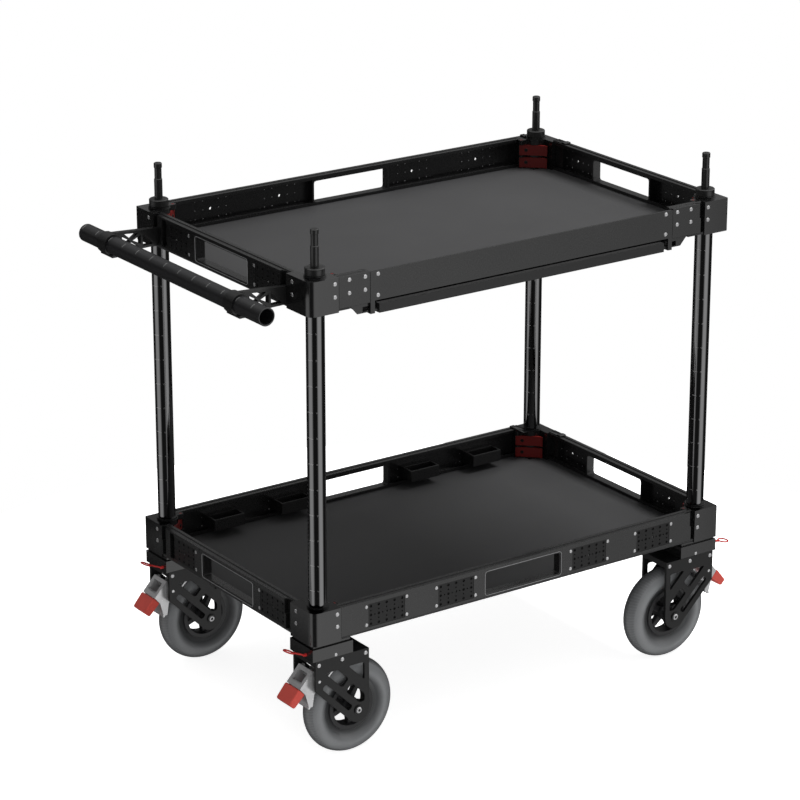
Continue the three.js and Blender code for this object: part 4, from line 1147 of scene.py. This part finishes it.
def plate_holes(level):
    """The threaded holes of each plate, without those behind its middle column."""
    plates = {"back": LONG_PLATES, **SIDE_PLATES}
    if level == "lower":
        plates["front"] = LONG_PLATES
    middle = TOPS[level] - PLATE_MIDDLE_DROP * MM
    return [on_face(side, plate + column * HOLE_PITCH, middle + row * HOLE_PITCH * MM)
            for side, spots in plates.items() for plate in spots
            for column in (-2, -1, 1, 2) for row in (-1, 0, 1)]


for level in RAILS:
    shelf = f"{level}_shelf"
    ends = through_wall(plate_screws(level))
    # The screw ends inside the rails take a much darker copy of the steel: painted shade.
    repeated(f"screw_ends_{level}", screws, ends, shade_steel, shelf, end_size)
    specks = through_wall(plate_holes(level))
    repeated(f"hole_ends_{level}", screws, specks, screw_steel, shelf, speck_size)
for tag, (side_x, side_y) in CORNERS.items():
    inward = Vector((-side_x, -side_y, 0)) * LEVER_DIAGONAL
    along = Vector((side_x, -side_y, 0)) * LEVER_DIAGONAL
    foot = Vector((posts[tag].x, posts[tag].y, 0)) + inward * LEVER_FACE - along * LEVER_BOLT
    for level in RAILS:
        heights = [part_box(f"{level}_rail_left")[1].z - drop * MM for drop in LEVER_DROPS]
        places = [(foot + UP * height, inward.copy(), UP.copy()) for height in heights]
        lever = f"{level}_lever_{tag}"
        repeated(f"{level}_lever_bolts_{tag}", screws, places, void_black, lever, lever_size)
print("screw ends and lever bolts made")


# %% [markdown]
# The studio has two soft lamps. They light only what is matt, because a black gloss would show
# them as hard patches. Light Path tells the rays apart: those from the eye see a plain pale
# ground, and those from a gloss see what a studio would show them.


# %% Lamps and rays
def area_light(name, place, target, size, size_y, power):
    data = bpy.data.lights.new(name, "AREA")
    data.shape = "RECTANGLE"
    data.size = size
    data.size_y = size_y
    data.energy = power
    light = linked(name, data)
    light.location = place
    light.visible_glossy = False
    light.rotation_euler = (Vector(target) - Vector(place)).to_track_quat("-Z", "Y").to_euler()


def seen_or_mirrored(wiring):
    """Two masks: rays from the eye, and rays from a gloss or through glass."""
    path = wiring.node("ShaderNodeLightPath").outputs
    mirrored = Value(wiring, path["Is Glossy Ray"]).most(path["Is Transmission Ray"])
    return Value(wiring, path["Is Camera Ray"]), mirrored


area_light("front", (-1.6, -4.4, 1.0), (0, 0, 0.4), 2.4, 1.6, 60)
area_light("side", (1.9, 0.0, 3.6), (0.2, 0, 0.4), 1.4, 1.4, 150)
print("two lamps, seen by matt surfaces only")

# %% [markdown]
# Black gloss shows the room, so the room is part of the likeness. The world is white to the eye.
# In a mirror it has a softbox on each side, a pale backdrop and a soft light overhead, and it is
# dark between them. Angles go round from the photograph's side, and z is the ray's rise. The
# world isn't sampled by itself, because such samples can't tell a gloss from a matt surface.

# %% The room
LEFT_BOX = (math.radians(-92), math.radians(-41))
RIGHT_BOX = (math.radians(25), math.radians(77))
BESIDE = (math.radians(70), math.radians(150))
BEHIND = (math.radians(100), math.radians(130))
LEFT_SHARE, RIGHT_SHARE, BEHIND_SHARE, ABOVE_SHARE = 0.95, 1.1, 0.20, 1.6
BOX_SOFT, BESIDE_SOFT, HORIZON_SOFT = 0.20, 0.3, 0.06
BOX_TOP, BESIDE_RISE, HORIZON, OVERHEAD = (0.0, 0.15), (0.05, 0.45), (0.24, 0.44), (0.50, 0.90)
ROOM_DIM = 0.03
MATT_LIGHT = 0.40


def make_world():
    world = bpy.data.worlds.new("studio")
    bpy.context.scene.world = world
    world.use_nodes = True
    wiring = Wiring(world.node_tree)
    x, y, z = wiring.split(wiring.node("ShaderNodeTexCoord").outputs["Generated"])
    turn = math.radians(CAMERA_TURN_DEG)
    forward = x * math.sin(turn) + y * -math.cos(turn)
    right = x * math.cos(turn) + y * math.sin(turn)
    angle = right.arctan2(forward)
    left_box = angle.strip(*LEFT_BOX, BOX_SOFT) * LEFT_SHARE
    boxes = left_box + angle.strip(*RIGHT_BOX, BOX_SOFT) * RIGHT_SHARE
    beside = angle.strip(*BESIDE, BESIDE_SOFT) * z.band(*BESIDE_RISE)
    behind = abs(angle).band(*BEHIND) * z.strip(*HORIZON, HORIZON_SOFT) * BEHIND_SHARE
    above = beside.most(z.band(*OVERHEAD)).most(behind)
    room = boxes * (1 - z.band(*BOX_TOP)) + above * ABOVE_SHARE
    seen, mirrored = seen_or_mirrored(wiring)
    reflected = mirrored * (ROOM_DIM + room * (1 - ROOM_DIM))
    strength = seen.most(reflected + (1 - mirrored) * MATT_LIGHT)
    background = world.node_tree.nodes["Background"]
    background.inputs["Color"].default_value = (1, 1, 1, 1)
    wiring.feed(background.inputs["Strength"], strength)
    world.cycles.sampling_method = "NONE"


make_world()
print("room made, with two softboxes")

# %% [markdown]
# The floor is white paper. It takes the cart's shadow, and it glows a little to the eye, most at
# its edge, so that it ends in the white of the world. A gloss sees through it to the dark below,
# apart from a glowing pool of painted light at the left of the back, which the lower faces of the
# posts mirror.

# %% Floor
FLOOR_REACH = 1.25
FLOOR_GLOW = 0.82
POOL_LEFT, POOL_BACK = (-0.95, -0.75), (-0.2, 0.2)
POOL_LIGHT = 0.30


def make_floor():
    made = bmesh.new()
    bmesh.ops.create_circle(made, cap_ends=True, segments=96, radius=FLOOR_REACH)
    bmesh.ops.translate(made, verts=made.verts, vec=(centre.x, centre.y, 0))
    mesh = mesh_from(made, "floor")
    finish = Finish("floor_paper", Roughness=0.9)
    point, (x, y, _) = finish.place()
    across, back = x - centre.x, y - centre.y
    paper = finish.mix(finish.noise(point, 3.0), grey(0.80), grey(0.82))
    finish.shader.inputs["Emission Color"].default_value = (1, 1, 1, 1)
    seen, mirrored = seen_or_mirrored(finish)
    finish.drive("Base Color", finish.mix(mirrored, paper, (0, 0, 0, 1)))
    edge = distance(across, back).band(0.55 * FLOOR_REACH, 0.98 * FLOOR_REACH)
    glow = FLOOR_GLOW + edge * (1 - FLOOR_GLOW)
    # A pool of painted light, which glows for a gloss only.
    pool = (1 - across.band(*POOL_LEFT)) * back.band(*POOL_BACK)
    finish.drive("Emission Strength", (seen * glow).most(mirrored * POOL_LIGHT))
    clear = finish.get("ShaderNodeBsdfTransparent")
    both = finish.get("ShaderNodeMixShader", Fac=mirrored * (1 - pool),
                      at1=finish.shader.outputs[0], at2=clear)
    finish.feed(finish.tree.nodes["Material Output"].inputs["Surface"], both)
    mesh.materials.append(finish.material)
    linked("floor", mesh)


make_floor()
bpy.context.scene.view_settings.view_transform = "Standard"
print("floor", round(2 * FLOOR_REACH, 2), "m across")
